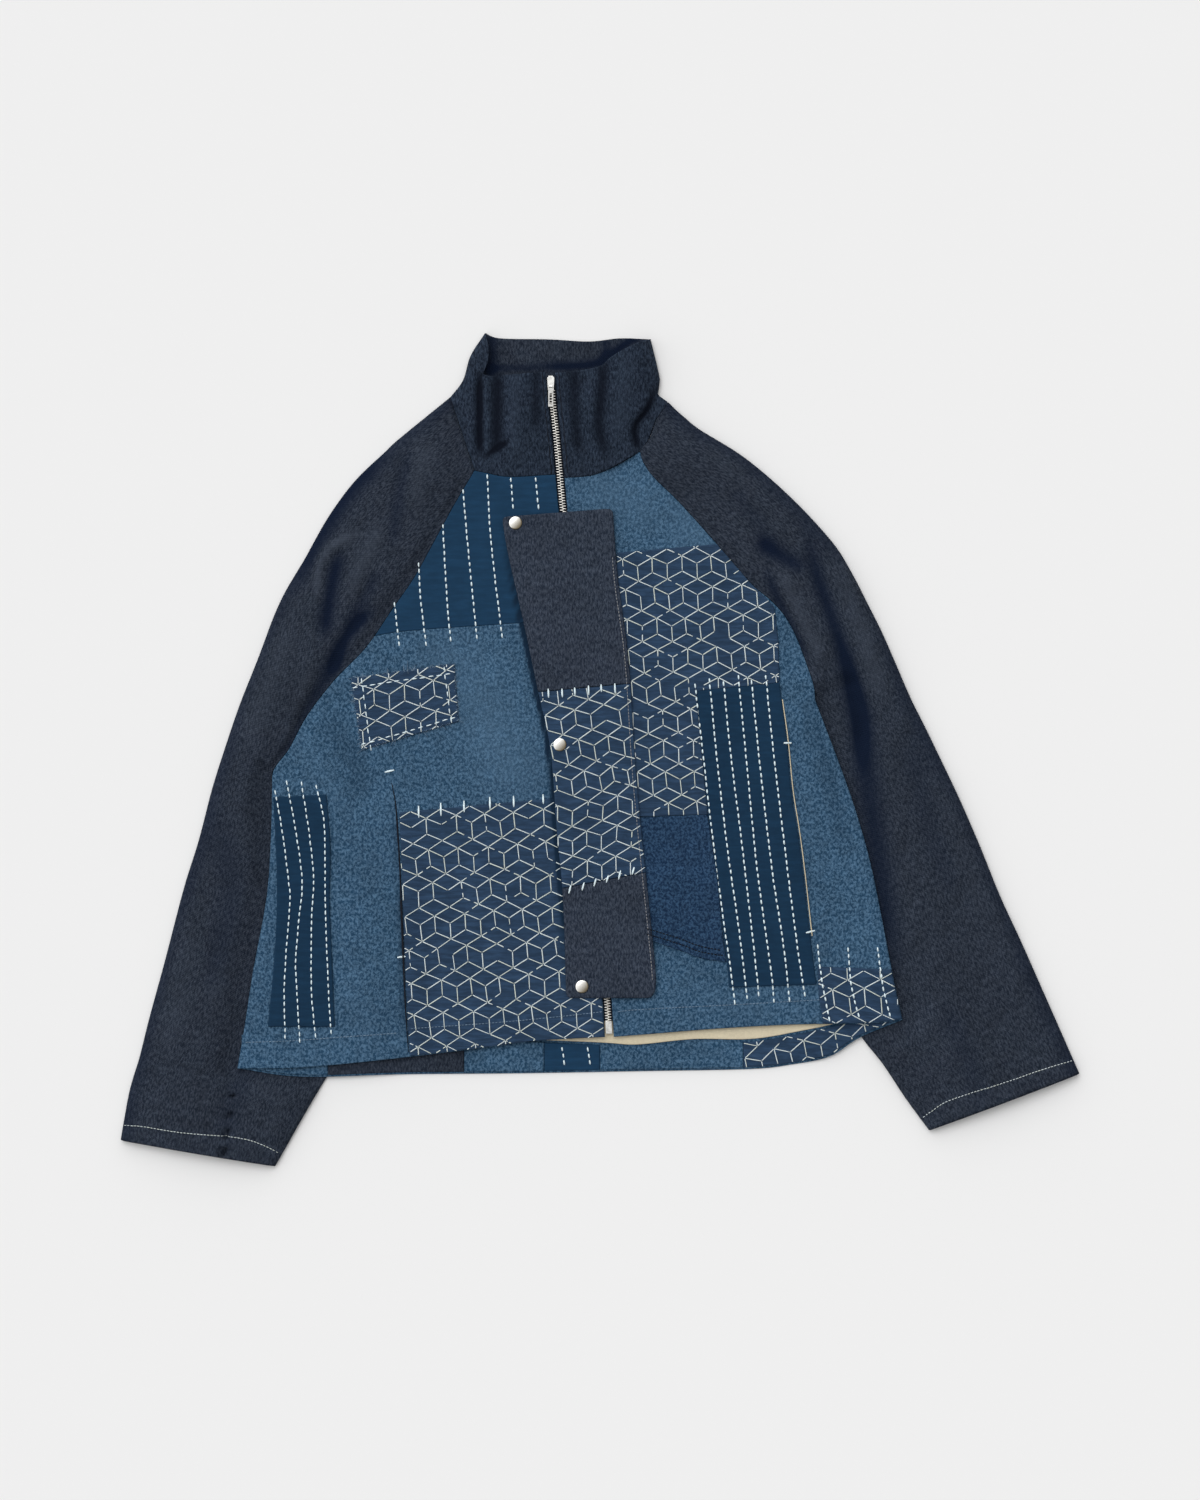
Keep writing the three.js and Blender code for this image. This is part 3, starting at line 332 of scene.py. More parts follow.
PLACKET_WHIPS_HIGH = [(-49, 58, 49.5), (-36, 58, 50), (-24, 59, 52), (-11, 61, 52), (1, 62, 55), (14, 63, 54)]
PLACKET_WHIPS_LOW = [(-29.5, -136, -128), (-17, -133, -125.5), (-5.7, -129, -121.6), (6, -125.5, -118.8),
                     (17.6, -122.5, -114), (30.4, -118, -111)]
HIGH_WHIP_SLANT, LOW_WHIP_SLANT = 0.4, 2.0
WHIP_RADIUS, TACK_RADIUS, SLIT_RADIUS = 0.9, 0.95, 1.15
BAR_TACKS = [
    [(-204, -21), (-195, -19)], [(-192, -196.5), (-184, -195.5)], [(174, 6.6), (181.5, 6.6)],
    [(195, -173), (203.5, -171)],
]
# The pocket's slit, along which a black line is laid as its painted shadow.
POCKET_SLIT = [(-197.5, -31), (-194, -50), (-191, -90), (-188.5, -142), (-184.5, -238), (-181.5, -286)]

TOPSTITCH_PITCH = 3.2
TOPSTITCH_LENGTH = 2.5
TOPSTITCH_RADIUS = 0.38
JEANS_STITCH_RADIUS = 0.55
PLACKET_STITCH_INSET = 3.5
HEM_ROWS = [
    [(-336, -277), (-294, -275.5), (-247, -272), (-190, -268)],
    [(-179, -264), (-95, -258), (-38, -252.5), (2, -248)],
    [(17, -248), (38, -246), (95, -243), (152, -240), (208, -236.5)],
]
CUFF_ROWS = [
    [(-451.5, -356), (-432, -357), (-399, -362), (-342, -367.5), (-318, -375), (-303, -383)],
    [(448, -294.5), (418, -303), (380, -316), (332, -331.5), (313.5, -343), (306, -349)],
]
JEANS_HEM_ROWS = [
    [(44, -174), (76, -184), (95, -191), (117, -195)], [(44, -169), (76, -179), (95, -186), (116, -190)],
]
# A dark line is laid along each seam beside the zip on the collar, as painted shade in its groove.
COLLAR_SEAM = 7.7           # from the middle of the zip to the seam beside it
COLLAR_SEAM_RADIUS = 0.5
FRAY_THREADS = 150
FRAY_REACH = (1.0, 4.5)
FRAY_RADII = (0.22, 0.22, 0.2, 0.17, 0.14)

# The cube pattern: columns a step apart, each with upright threads two units long in a period of four
# units, and slanted threads to the columns beside it. A field gives the top of its first upright
# thread, the step to the next column, and the length of one unit down.
CUBE_RADIUS = 0.50
CUBE_FIELDS = {
    "right_chest_patch": {"start": (-214, 57), "column": (14.0, 2.4), "unit": (0.5, -7.4)},
    "right_pocket_panel": {"start": (-178.6, -220.4), "column": (13.9, 1.0), "unit": (0.7, -7.7)},
    "left_chest_panel": {"start": (49.4, 182.4), "column": (13.75, 0.5), "unit": (0.46, -7.25)},
    "left_corner_patch": {"start": (220.4, -227), "column": (15.2, 0.5), "unit": (0.6, -8.1)},
    "back_hem_facing_6": {"start": (165.3, -284), "column": (14.2, 4.0), "unit": (1.6, -7.4)},
    "placket_middle": {"start": (-51.3, 33.2), "column": (13.6, 2.3), "unit": (1.1, -7.15)},
}
CUBE_WANDER = 0.7
CUBE_ENDED, CUBE_LOST, CUBE_LEAST = 0.14, 0.03, 0.08    # shares of threads that end early, or are missing
PLACKET_BEND = (-45, 0.17)  # below this height the placket's columns stand upright


# ------------------------------------------------------------------ settings a user would change

def colour(name, value, description):
    """A colour setting, in linear light."""
    return bpy.props.FloatVectorProperty(
        name=name, description=description, default=value, subtype="COLOR", min=0.0, max=1.0)


class JacketCloths(bpy.types.PropertyGroup):
    """Colours of the cloths."""
    denim_dark: colour("Dark denim", (0.0060, 0.0105, 0.0205), "Ground of the raw denim")
    denim_dark_fleck: colour("Dark denim fleck", (0.0470, 0.0590, 0.0830), "Grey slubs of the raw denim")
    denim_light: colour("Light denim", (0.0080, 0.0370, 0.0800), "Ground of the washed denim")
    denim_light_fleck: colour(
        "Light denim fleck", (0.0860, 0.1680, 0.2680), "Worn threads of the washed denim")
    denim_worn: colour("Jeans denim", (0.0030, 0.0150, 0.0440), "Ground of the jeans denim")
    denim_worn_fleck: colour("Jeans fleck", (0.0370, 0.0840, 0.1600), "Worn threads of the jeans denim")
    navy: colour("Navy cotton", (0.0095, 0.0370, 0.0800), "Smooth navy cotton")
    sashiko: colour("Sashiko cloth", (0.0183, 0.0385, 0.0750), "Ground of the cube patterned cloth")
    # Painted shade: the navy that the dark denim is painted in its creases.
    crease_shade_navy: colour("Fold navy", (0.0030, 0.0080, 0.0230), "Dark denim in its creases")
    lining: colour("Lining", (0.70, 0.62, 0.45), "Beige cotton")
    thread: colour("Thread", (0.73, 0.81, 0.83), "Off-white hand stitching")


class JacketStage(bpy.types.PropertyGroup):
    """Floor, light and camera."""
    floor: colour("Floor", (0.863, 0.863, 0.863), "Plain pale floor")
    lens: bpy.props.FloatProperty(
        name="Lens", description="Focal length of the camera", default=85.0, min=20.0, max=200.0)
    view_height: bpy.props.FloatProperty(
        name="View height", description="Length of table from the top to the bottom of the view",
        default=1.425, unit="LENGTH")
    sky: bpy.props.FloatProperty(
        name="Sky", description="Brightness of the even light from all round", default=0.80, min=0.0)
    sun: bpy.props.FloatProperty(
        name="Sun", description="Strength of the soft light from above", default=0.75, min=0.0)


# ------------------------------------------------------------------ runs

def smooth(points, steps=6):
    """Catmull-Rom curve: each span is the cubic through its ends with the slope of their neighbours."""
    p = np.array(points, float)
    if len(p) == 2:
        return p
    q = np.vstack([2 * p[0] - p[1], p, 2 * p[-1] - p[-2]])
    a, b, c, d = (q[k:len(q) - 3 + k][:, None, :] for k in range(4))
    t = np.linspace(0, 1, steps, endpoint=False)[None, :, None]
    spans = 0.5 * (2 * b + (c - a) * t + (2 * a - 5 * b + 4 * c - d) * t**2 + (3 * b - a - 3 * c + d) * t**3)
    return np.vstack([spans.reshape(-1, p.shape[1]), p[-1:]])


def length(run):
    """Sum of a run's chords."""
    return np.linalg.norm(np.diff(run, axis=0), axis=1).sum()


def reach_of(run):
    """Length of a run up to each of its points."""
    return np.concatenate([[0], np.cumsum(np.linalg.norm(np.diff(run, axis=0), axis=1))])


def along(run, share):
    """Points at shares of a run's length."""
    reach = reach_of(run)
    return np.stack([np.interp(share, reach / reach[-1], run[:, k]) for k in range(run.shape[1])], -1)


def span(run, start, end, axis=1):
    """The stretch of a run between two values of y (or of x), from the first value to the second."""
    ordered = run[np.argsort(run[:, axis], kind="stable")]
    low, high = min(start, end), max(start, end)
    kept = ordered[(ordered[:, axis] > low + 0.5) & (ordered[:, axis] < high - 0.5)]
    ends = np.array([[np.interp(v, ordered[:, axis], ordered[:, k]) for k in (0, 1)] for v in (low, high)])
    stretch = np.vstack([ends[:1], kept, ends[1:]])
    return stretch if start < end else stretch[::-1]


def beside(run, by):
    """A run moved sideways, to its right where the distance is positive."""
    run = np.array(run, float)
    slope = np.gradient(run, axis=0)
    slope /= np.linalg.norm(slope, axis=1)[:, None]
    return run + by * np.stack([slope[:, 1], -slope[:, 0]], -1)


def distance(run, x, y):
    """Distance from points to a run's nearest chord, positive on the run's right."""
    run = np.array(run, float)
    a, d = run[:-1], np.diff(run, axis=0)
    px, py = x[..., None] - a[:, 0], y[..., None] - a[:, 1]
    t = np.clip((px * d[:, 0] + py * d[:, 1]) / (d**2).sum(1), 0, 1)
    gap = np.hypot(px - t * d[:, 0], py - t * d[:, 1])
    nearest = gap.argmin(-1)[..., None]
    side = np.take_along_axis(px * d[:, 1] - py * d[:, 0], nearest, -1)[..., 0]
    return np.take_along_axis(gap, nearest, -1)[..., 0] * np.where(side >= 0, 1, -1)


def nearness(x, y, *runs):
    """Plain distance to the nearest of some runs."""
    return np.minimum.reduce([np.abs(distance(run, x, y)) for run in runs])


def inside(outline, x, y):
    """Whether points lie in an outline: a ray to the right crosses it an odd number of times."""
    a, b = outline, np.roll(outline, -1, axis=0)
    px, py = x[..., None], y[..., None]
    spans = (a[:, 1] > py) != (b[:, 1] > py)
    rise = np.where(b[:, 1] == a[:, 1], 1e-9, b[:, 1] - a[:, 1])
    crossing = a[:, 0] + (py - a[:, 1]) * (b[:, 0] - a[:, 0]) / rise
    return (spans & (px < crossing)).sum(-1) % 2 == 1


def step(value, start, end):
    """0 before start, 1 after end, and a smooth S between."""
    t = np.clip((value - start) / (end - start), 0, 1)
    return t * t * (3 - 2 * t)


def quarter(value):
    """A quarter circle: 0 at 0, upright there, and level at 1."""
    return np.sqrt(1 - (1 - np.clip(value, 0, 1)) ** 2)


right_rows = np.array(RIGHT_SLEEVE, float)
left_rows = np.array(LEFT_SLEEVE, float)
right_under = right_rows[RIGHT_UNDERARM_ROW:, 1]
left_under = left_rows[LEFT_UNDERARM_ROW:, 1]
right_side = smooth(RIGHT_SIDE, 3)
left_side = smooth(LEFT_SIDE, 3)
right_raglan = smooth(right_rows[:, 1], 4)[:4 * RIGHT_UNDERARM_ROW + 1][::-1]
left_raglan = smooth(left_rows[:, 1], 4)[4 * LEFT_NECK_ROW:4 * LEFT_UNDERARM_ROW + 1][::-1]
zip_line = smooth(ZIP_LINE, 6)
collar_right_side = smooth(COLLAR_RIGHT_SIDE, 4)
collar_left_side = np.array(COLLAR_LEFT_SIDE, float)
neck_seam = np.array([(-142, 335), *RIGHT_NECK, *LEFT_NECK, (46, 294), (53, 313), (65, 330)], float)


# ------------------------------------------------------------------ heights

def creased(creases, x, y):
    """Height and painted shade of creases: each is a bell of the distance over its width, which fades to
    nothing between half and all of the way from the middle of its run to its ends, and a little beyond. The
    shade paints a crease darker, and where it is below 0, a ridge paler."""
    height, shade = np.zeros_like(x), np.zeros_like(x)
    for run, width, rise, dark in creases:
        bend = smooth(run, 4)
        middle = along(bend, np.array([0.5]))[0]
        half = max(np.linalg.norm(bend[0] - middle), np.linalg.norm(bend[-1] - middle)) + width
        ends = 1 - step(np.hypot(x - middle[0], y - middle[1]) / half, 0.5, 1.0)
        near = np.exp(-(distance(bend, x, y) / width) ** 2) * ends
        height += rise * near
        shade += dark * near
    return height, shade


def ripple(x, y, size):
    """Slight unevenness of handled cloth: the sum of five long waves that cross each other."""
    waves = [(61, 17, 0.3), (-23, 83, 1.7), (47, -52, 4.1), (97, 71, 2.2), (-38, -29, 5.0)]
    return size * sum(np.sin(2 * np.pi * (x / a + y / b) + c) for a, b, c in waves) / len(waves)


def lower_lay(x, y):
    """Underside of the back: on the table, and raised by two layers where a sleeve lies below it."""
    over_right = step(distance(right_under, x, y), *STACK_FADE)
    over_left = step(-distance(left_under, x, y), *STACK_FADE)
    return SLEEVE_STACK * np.maximum(over_right, over_left)


def collar_lay(x, y):
    """How far the collar's front stands up: a ramp from the neck seam, low at both sides, with a roll."""
    above = y > np.interp(x, neck_seam[:, 0], neck_seam[:, 1])
    ramp = COLLAR_RISE * step(nearness(x, y, neck_seam), 0, COLLAR_REACH)
    sides = step(nearness(x, y, collar_right_side, collar_left_side), -4, COLLAR_SIDE)
    roll = COLLAR_ROLL * step(distance(COLLAR_LEFT_ROLL, x, y), -2, 5) * step(x, -20, 20)
    return np.where(above, (ramp + roll) * sides, 0)


def upper_lay(x, y):
    """Underside of the fronts and the collar's front, turned down at the sides to just above the back."""
    side = nearness(x, y, right_side, left_side)
    ends = nearness(x, y, collar_right_side, collar_left_side)
    puff = BODY_PUFF[0] + (BODY_PUFF[1] - BODY_PUFF[0]) * step(side, 0, BODY_PUFF_REACH)
    folds = creased(FRONT_CREASES, x, y)[0] + creased(COLLAR_CREASES, x, y)[0]
    rise = FRONT_BASE - LIFT + puff + collar_lay(x, y) + folds + ripple(x, y, BODY_RIPPLE)
    turned = quarter(np.minimum(side, ends) / SIDE_ROLL)
    return lower_lay(x, y) + LIFT + np.maximum(rise, 0.8) * turned


def raised(height, by):
    """A height moved up."""
    return lambda x, y: height(x, y) + by


# ------------------------------------------------------------------ meshes

def write_mesh(name, points, faces, uv=None, fields=None):
    """A mesh from points in millimetres and a list of index arrays, one array for each number of corners."""
    mesh = bpy.data.meshes.new(name)
    loops = np.concatenate([f.ravel() for f in faces]).astype(np.int32)
    sizes = np.concatenate([np.full(len(f), f.shape[1]) for f in faces])
    mesh.vertices.add(len(points))
    mesh.vertices.foreach_set("co", (np.asarray(points) * MM).astype(np.float32).ravel())
    mesh.loops.add(len(loops))
    mesh.loops.foreach_set("vertex_index", loops)
    mesh.polygons.add(len(sizes))
    mesh.polygons.foreach_set("loop_start", np.concatenate([[0], np.cumsum(sizes)[:-1]]).astype(np.int32))
    mesh.update(calc_edges=True)
    mesh.polygons.foreach_set("use_smooth", np.ones(len(sizes), bool))
    if uv is not None:
        layer = mesh.uv_layers.new(name="cloth")
        layer.data.foreach_set("uv", (np.asarray(uv) * MM)[loops].astype(np.float32).ravel())
    for field, values in (fields or {}).items():
        mesh.attributes.new(field, "FLOAT", "POINT").data.foreach_set("value", values.astype(np.float32))
    mesh.validate()
    return mesh


def add_object(name, data):
    """A new object in the scene."""
    made = bpy.data.objects.new(name, data)
    bpy.context.scene.collection.objects.link(made)
    return made


def add_piece(name, mesh, finish, stands_for=()):
    """Puts a finished mesh in the scene, on its body, with its finish and the solids it stands for."""
    piece = add_object(name, mesh)
    mesh.materials.append(bpy.data.materials[finish])
    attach(piece, BODY)
    if stands_for:
        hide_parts(*stands_for)
    return piece


def edge_lines(size, cell):
    """Shares across a sheet: lines a cell apart, with finer ones where its edges are rounded."""
    near = np.array(EDGE_LINES) / size
    middle = np.linspace(near[-1], 1 - near[-1], max(3, int(size / cell)))
    return np.concatenate([near[:-1], middle, 1 - near[:-1][::-1]])


def border_distance(u, v, across, up):
    """How far each grid point is from the nearest border."""
    return np.minimum(np.minimum(u, 1 - u)[None, :] * across, np.minimum(v, 1 - v)[:, None] * up)


def between(bottom, top, left, right, cell=CELL):
    """Coons patch: the blend of bottom and top, plus that of left and right, less that of the corners."""
    across, up = (length(bottom) + length(top)) / 2, (length(left) + length(right)) / 2
    u, v = edge_lines(across, cell), edge_lines(up, cell)
    low, high = along(bottom, u)[None], along(top, u)[None]
    west, east = along(left, v)[:, None], along(right, v)[:, None]
    s, t = u[None, :, None], v[:, None, None]
    corners = ((1 - s) * ((1 - t) * low[:, :1] + t * high[:, :1])
               + s * ((1 - t) * low[:, -1:] + t * high[:, -1:]))
    return (1 - t) * low + t * high + (1 - s) * west + s * east - corners, border_distance(u, v, across, up)


def strip(west, east):
    """The patch between two runs, with straight ends."""
    return between(np.array([west[0], east[0]]), np.array([west[-1], east[-1]]), west, east)


def ruled(rows, cell=CELL):
    """Straight lines from a left run to a right run, whose points are given in pairs from the bottom up."""
    rows = np.array(rows, float)
    left, right = rows[:, 0], rows[:, 1]
    reach = reach_of(right)
    across, up = np.linalg.norm(right - left, axis=1).mean(), reach[-1]
    u, v = edge_lines(across, cell), edge_lines(up, cell)
    west, east = (np.stack([np.interp(v, reach / up, run[:, k]) for k in (0, 1)], -1)
                  for run in (left, right))
    s = u[None, :, None]
    return west[:, None] * (1 - s) + east[:, None] * s, border_distance(u, v, across, up)


def sheet_mesh(name, patch, under, thickness, creases=(), turn=0.0):
    """Closed sheet: a top and a bottom grid half a wall from the middle height, which meet at the border.

    Its UV map is its x and y, turned as the cloth was cut.
    """
    grid, border = patch
    x, y = grid[..., 0], grid[..., 1]
    full = np.interp(border, EDGE_LINES, EDGE_FULLNESS)
    middle = under(x, y) + thickness / 2
    # Painted shade and highlight of the creases, which the finish reads from the fold attribute.
    shade = creased(creases, x, y)[1]
    rows, columns = x.shape
    top = np.arange(rows * columns).reshape(rows, columns)
    bottom = top.copy()
    bottom[1:-1, 1:-1] = rows * columns + np.arange((rows - 2) * (columns - 2)).reshape(rows - 2, -1)
    quads = [
        np.stack([top[:-1, :-1], top[:-1, 1:], top[1:, 1:], top[1:, :-1]], -1).reshape(-1, 4),
        np.stack([bottom[:-1, :-1], bottom[1:, :-1], bottom[1:, 1:], bottom[:-1, 1:]], -1).reshape(-1, 4),
    ]
    inner = (slice(1, -1), slice(1, -1))
    half = full * thickness / 2
    upper = np.stack([x, y, middle + half], -1).reshape(-1, 3)
    lower = np.stack([x, y, middle - half], -1)[inner].reshape(-1, 3)
    cos, sin = np.cos(turn), np.sin(turn)
    cut = np.stack([x * cos + y * sin, y * cos - x * sin], -1)
    return write_mesh(
        name, np.vstack([upper, lower]), [np.vstack(quads)],
        np.vstack([cut.reshape(-1, 2), cut[inner].reshape(-1, 2)]),
        {"fold": np.concatenate([shade.ravel(), shade[inner].ravel()])})


def outline_of(grid):
    """The grid's border, once round."""
    return np.vstack([grid[0, :-1], grid[:-1, -1], grid[-1, :0:-1], grid[:0:-1, 0]])


def add_sheet(name, patch, under, thickness, finish, *shape):
    """The sheet of one cloth, which stands for the solid of its name."""
    mesh = sheet_mesh(name, patch, under, thickness, *shape)
    return add_piece(name, mesh, finish, [name.removesuffix("_cloth")])


PANELS = {}                 # the outline of each cloth


def add_cloth(name, patch, under, thickness, finish, rests_on, creases=(), turn=0.0, with_pieces=()):
    """A sheet, with its outline kept for the threads on it."""
    piece = add_sheet(name, patch, under, thickness, finish, creases, turn)
    PANELS[name] = outline_of(patch[0])


def ring_walls(rings, sides):
    """The number of each point of closed rings, one ring a row, and the faces between the rings."""
    index = np.arange(rings * sides).reshape(rings, sides)
    ahead = np.roll(index, -1, axis=1)
    return index, np.stack([index[:-1], ahead[:-1], ahead[1:], index[1:]], -1).reshape(-1, 4)


def tubes(paths, radii, sides=5, flat=0.7):
    """Rings round each of many paths: points, faces and the number of the path at each point.

    paths is paths x rings x 3 and radii broadcasts to paths x rings. A ring lies across the path's
    slope, a radius wide and `flat` of that high, and the two end rings are closed by one face each.
    """
    count, rings = paths.shape[:2]
    slope = np.gradient(paths, axis=1)
    slope /= np.maximum(np.linalg.norm(slope, axis=2, keepdims=True), 1e-9)
    across = np.cross(slope, [0, 0, 1.0])
    across /= np.maximum(np.linalg.norm(across, axis=2, keepdims=True), 1e-9)
    out = np.cross(across, slope)
    angle = np.arange(sides) * 2 * np.pi / sides
    radii = np.broadcast_to(radii, (count, rings))[..., None, None]
    points = paths[:, :, None] + radii * (
        np.cos(angle)[:, None] * across[:, :, None] + flat * np.sin(angle)[:, None] * out[:, :, None])
    index = np.arange(count * rings * sides).reshape(count, rings, sides)
    ahead = np.roll(index, -1, axis=2)
    walls = np.stack([index[:, :-1], index[:, 1:], ahead[:, 1:], ahead[:, :-1]], -1).reshape(-1, 4)
    ends = np.vstack([index[:, 0], index[:, -1, ::-1]])
    return points.reshape(-1, 3), [walls, ends], np.repeat(np.arange(count), rings * sides)


def add_threads(name, paths, radii, finish="thread", sides=5, flat=0.7, seed=0):
    """Many short threads as one piece, each with a shade of its own."""
    points, faces, owner = tubes(paths, radii, sides, flat)
    tint = np.random.default_rng(SEED + seed).random(len(paths))
    return add_piece(name, write_mesh(name, points, faces, fields={"tint": tint[owner]}), finish)


FRONT_PATCHES = (
    "right_chest_patch", "right_pocket_panel", "right_side_patch", "left_chest_panel", "left_jeans_patch",
    "left_stripe_panel", "left_corner_patch",
)


def surface_top(x, y):
    """Top of the cloth seen from above, on the body's front: panel, patch or placket."""
    on_patch = np.zeros(x.shape, bool)
    for name in FRONT_PATCHES:
        on_patch |= inside(PANELS[name], x, y)
    on_placket = inside(PANELS["placket"], x, y)
    placket = LIFT * 2 + PLACKET - CLOTH - LIFT * on_patch
    return upper_lay(x, y) + CLOTH + np.where(on_patch, LIFT, 0) + np.where(on_placket, placket, 0)


def facing_top(x, y):
    """Top of the hem facing."""
    return lower_lay(x, y) + LIFT + CLOTH


def lifted(places, height):
    """Places on the table and heights, as points."""
    return np.concatenate([places, height[..., None]], -1)


def stitches(rows, pitch, stitch, radius, top, rings, wander=0.35, seed=0):
    """Straight stitches along rows: each has rings spaced along it and dips into the cloth at its ends.

    Places along a row are whole pitches from its start, moved a little at random, and the height is the
    cloth's, plus an arch of sin(pi t).
    """
    rng = np.random.default_rng(SEED + seed)
    t = np.linspace(0, 1, rings)
    paths = []
    for row in rows:
        run = smooth(row, 8)
        total = length(run)
        starts = np.arange(0, total - stitch, pitch)
        starts = starts + rng.uniform(-STITCH_SLIP, STITCH_SLIP, len(starts)) * wander
        sizes = stitch * rng.uniform(*STITCH_SIZES, len(starts))
        places = along(run, np.clip((starts[:, None] + sizes[:, None] * t) / total, 0, 1))
        places += rng.uniform(-STITCH_SHIFT, STITCH_SHIFT, (len(starts), 1, 2)) * wander
        paths.append(places)
    flat_paths = np.vstack(paths)
    bow = np.sin(np.pi * t)
    height = top(flat_paths[..., 0], flat_paths[..., 1]) + radius * (STITCH_ARCH * bow - STITCH_DIP)
    return lifted(flat_paths, height), radius * (STITCH_NECK + STITCH_SWELL * bow ** 0.6)


# ------------------------------------------------------------------ sleeves

def outward(points, faces):
    """The faces, all turned round if together they enclose a negative volume."""
    a, b, c = (points[faces[:, k]] for k in range(3))
    d = points[faces[:, 3]]
    volume = (a * (np.cross(b, c) + np.cross(c, d))).sum()
    return faces if volume > 0 else faces[:, ::-1]


def sleeve_top(side, x, y, share, across, from_cuff):
    """Top of a sleeve's upper layer.

    It domes over the air inside, is pressed flat where the body covers it, meets the front's height at
    the raglan seam, and takes the creases and a raised hem at the cuff. Its second value is the painted
    shade of the creases, with more painted shade along the rounded fold at the outer edge.
    """
    joined = 1 - step(share, side["underarm"] - 0.5, side["underarm"] + 0.1)
    open_air = np.maximum(joined, step(side["sign"] * distance(side["cover"], x, y), *OPEN_BAND))
    edge = SLEEVE_FLAT + joined * (upper_lay(x[:, -1:], y[:, -1:]) + CLOTH - SLEEVE_FLAT)
    neck = 1 - step(nearness(x, y, side["rows"][0]), *NECK_BAND)
    base = SLEEVE_FLAT + SLEEVE_OPEN * open_air
    level = base + (edge - base) * np.where(joined > 0, step(across, 0.1, 1.0), 0)
    dome = SLEEVE_PUFF * np.clip(4 * across * (1 - across), 0, 1) ** 0.7
    folds, shade = creased(side["creases"], x, y)
    loose = (dome + folds + ripple(x, y, SLEEVE_RIPPLE)) * open_air * (1 - NECK_CALM * neck)
    # Painted shade along the rounded fold at the sleeve's outer edge.
    breadth = np.linalg.norm(np.stack([x[:, -1] - x[:, 0], y[:, -1] - y[:, 0]]), axis=0)[:, None]
    shade = shade + RIM_SHADE * np.exp(-(across * breadth / RIM_WIDTH) ** 2)
    fade = step(1 - across, 0, 0.12) * step(across, 0, 0.06)
    hem = CUFF_STEP * step(CUFF_HEM - from_cuff, -0.7, 0.7)
    return np.maximum(level + loose * np.maximum(fade, 1 - joined), SLEEVE_LEAST) + hem, shade


SLEEVES = {
    "right_sleeve": {
        "rows": right_rows, "underarm": RIGHT_UNDERARM_ROW, "sign": 1, "creases": RIGHT_SLEEVE_CREASES,
        "cover": np.vstack([right_side[::-1], [(-285, -310), (-190, -308)]]),
    },
    "left_sleeve": {
        "rows": left_rows, "underarm": LEFT_UNDERARM_ROW, "sign": -1, "creases": LEFT_SLEEVE_CREASES,
        "cover": np.vstack([left_side[::-1], [(246, -273), (218, -291), (180, -299)]]),
    },
}
SLEEVE_TOPS = {}            # points of each sleeve's upper face, for the stitches on it


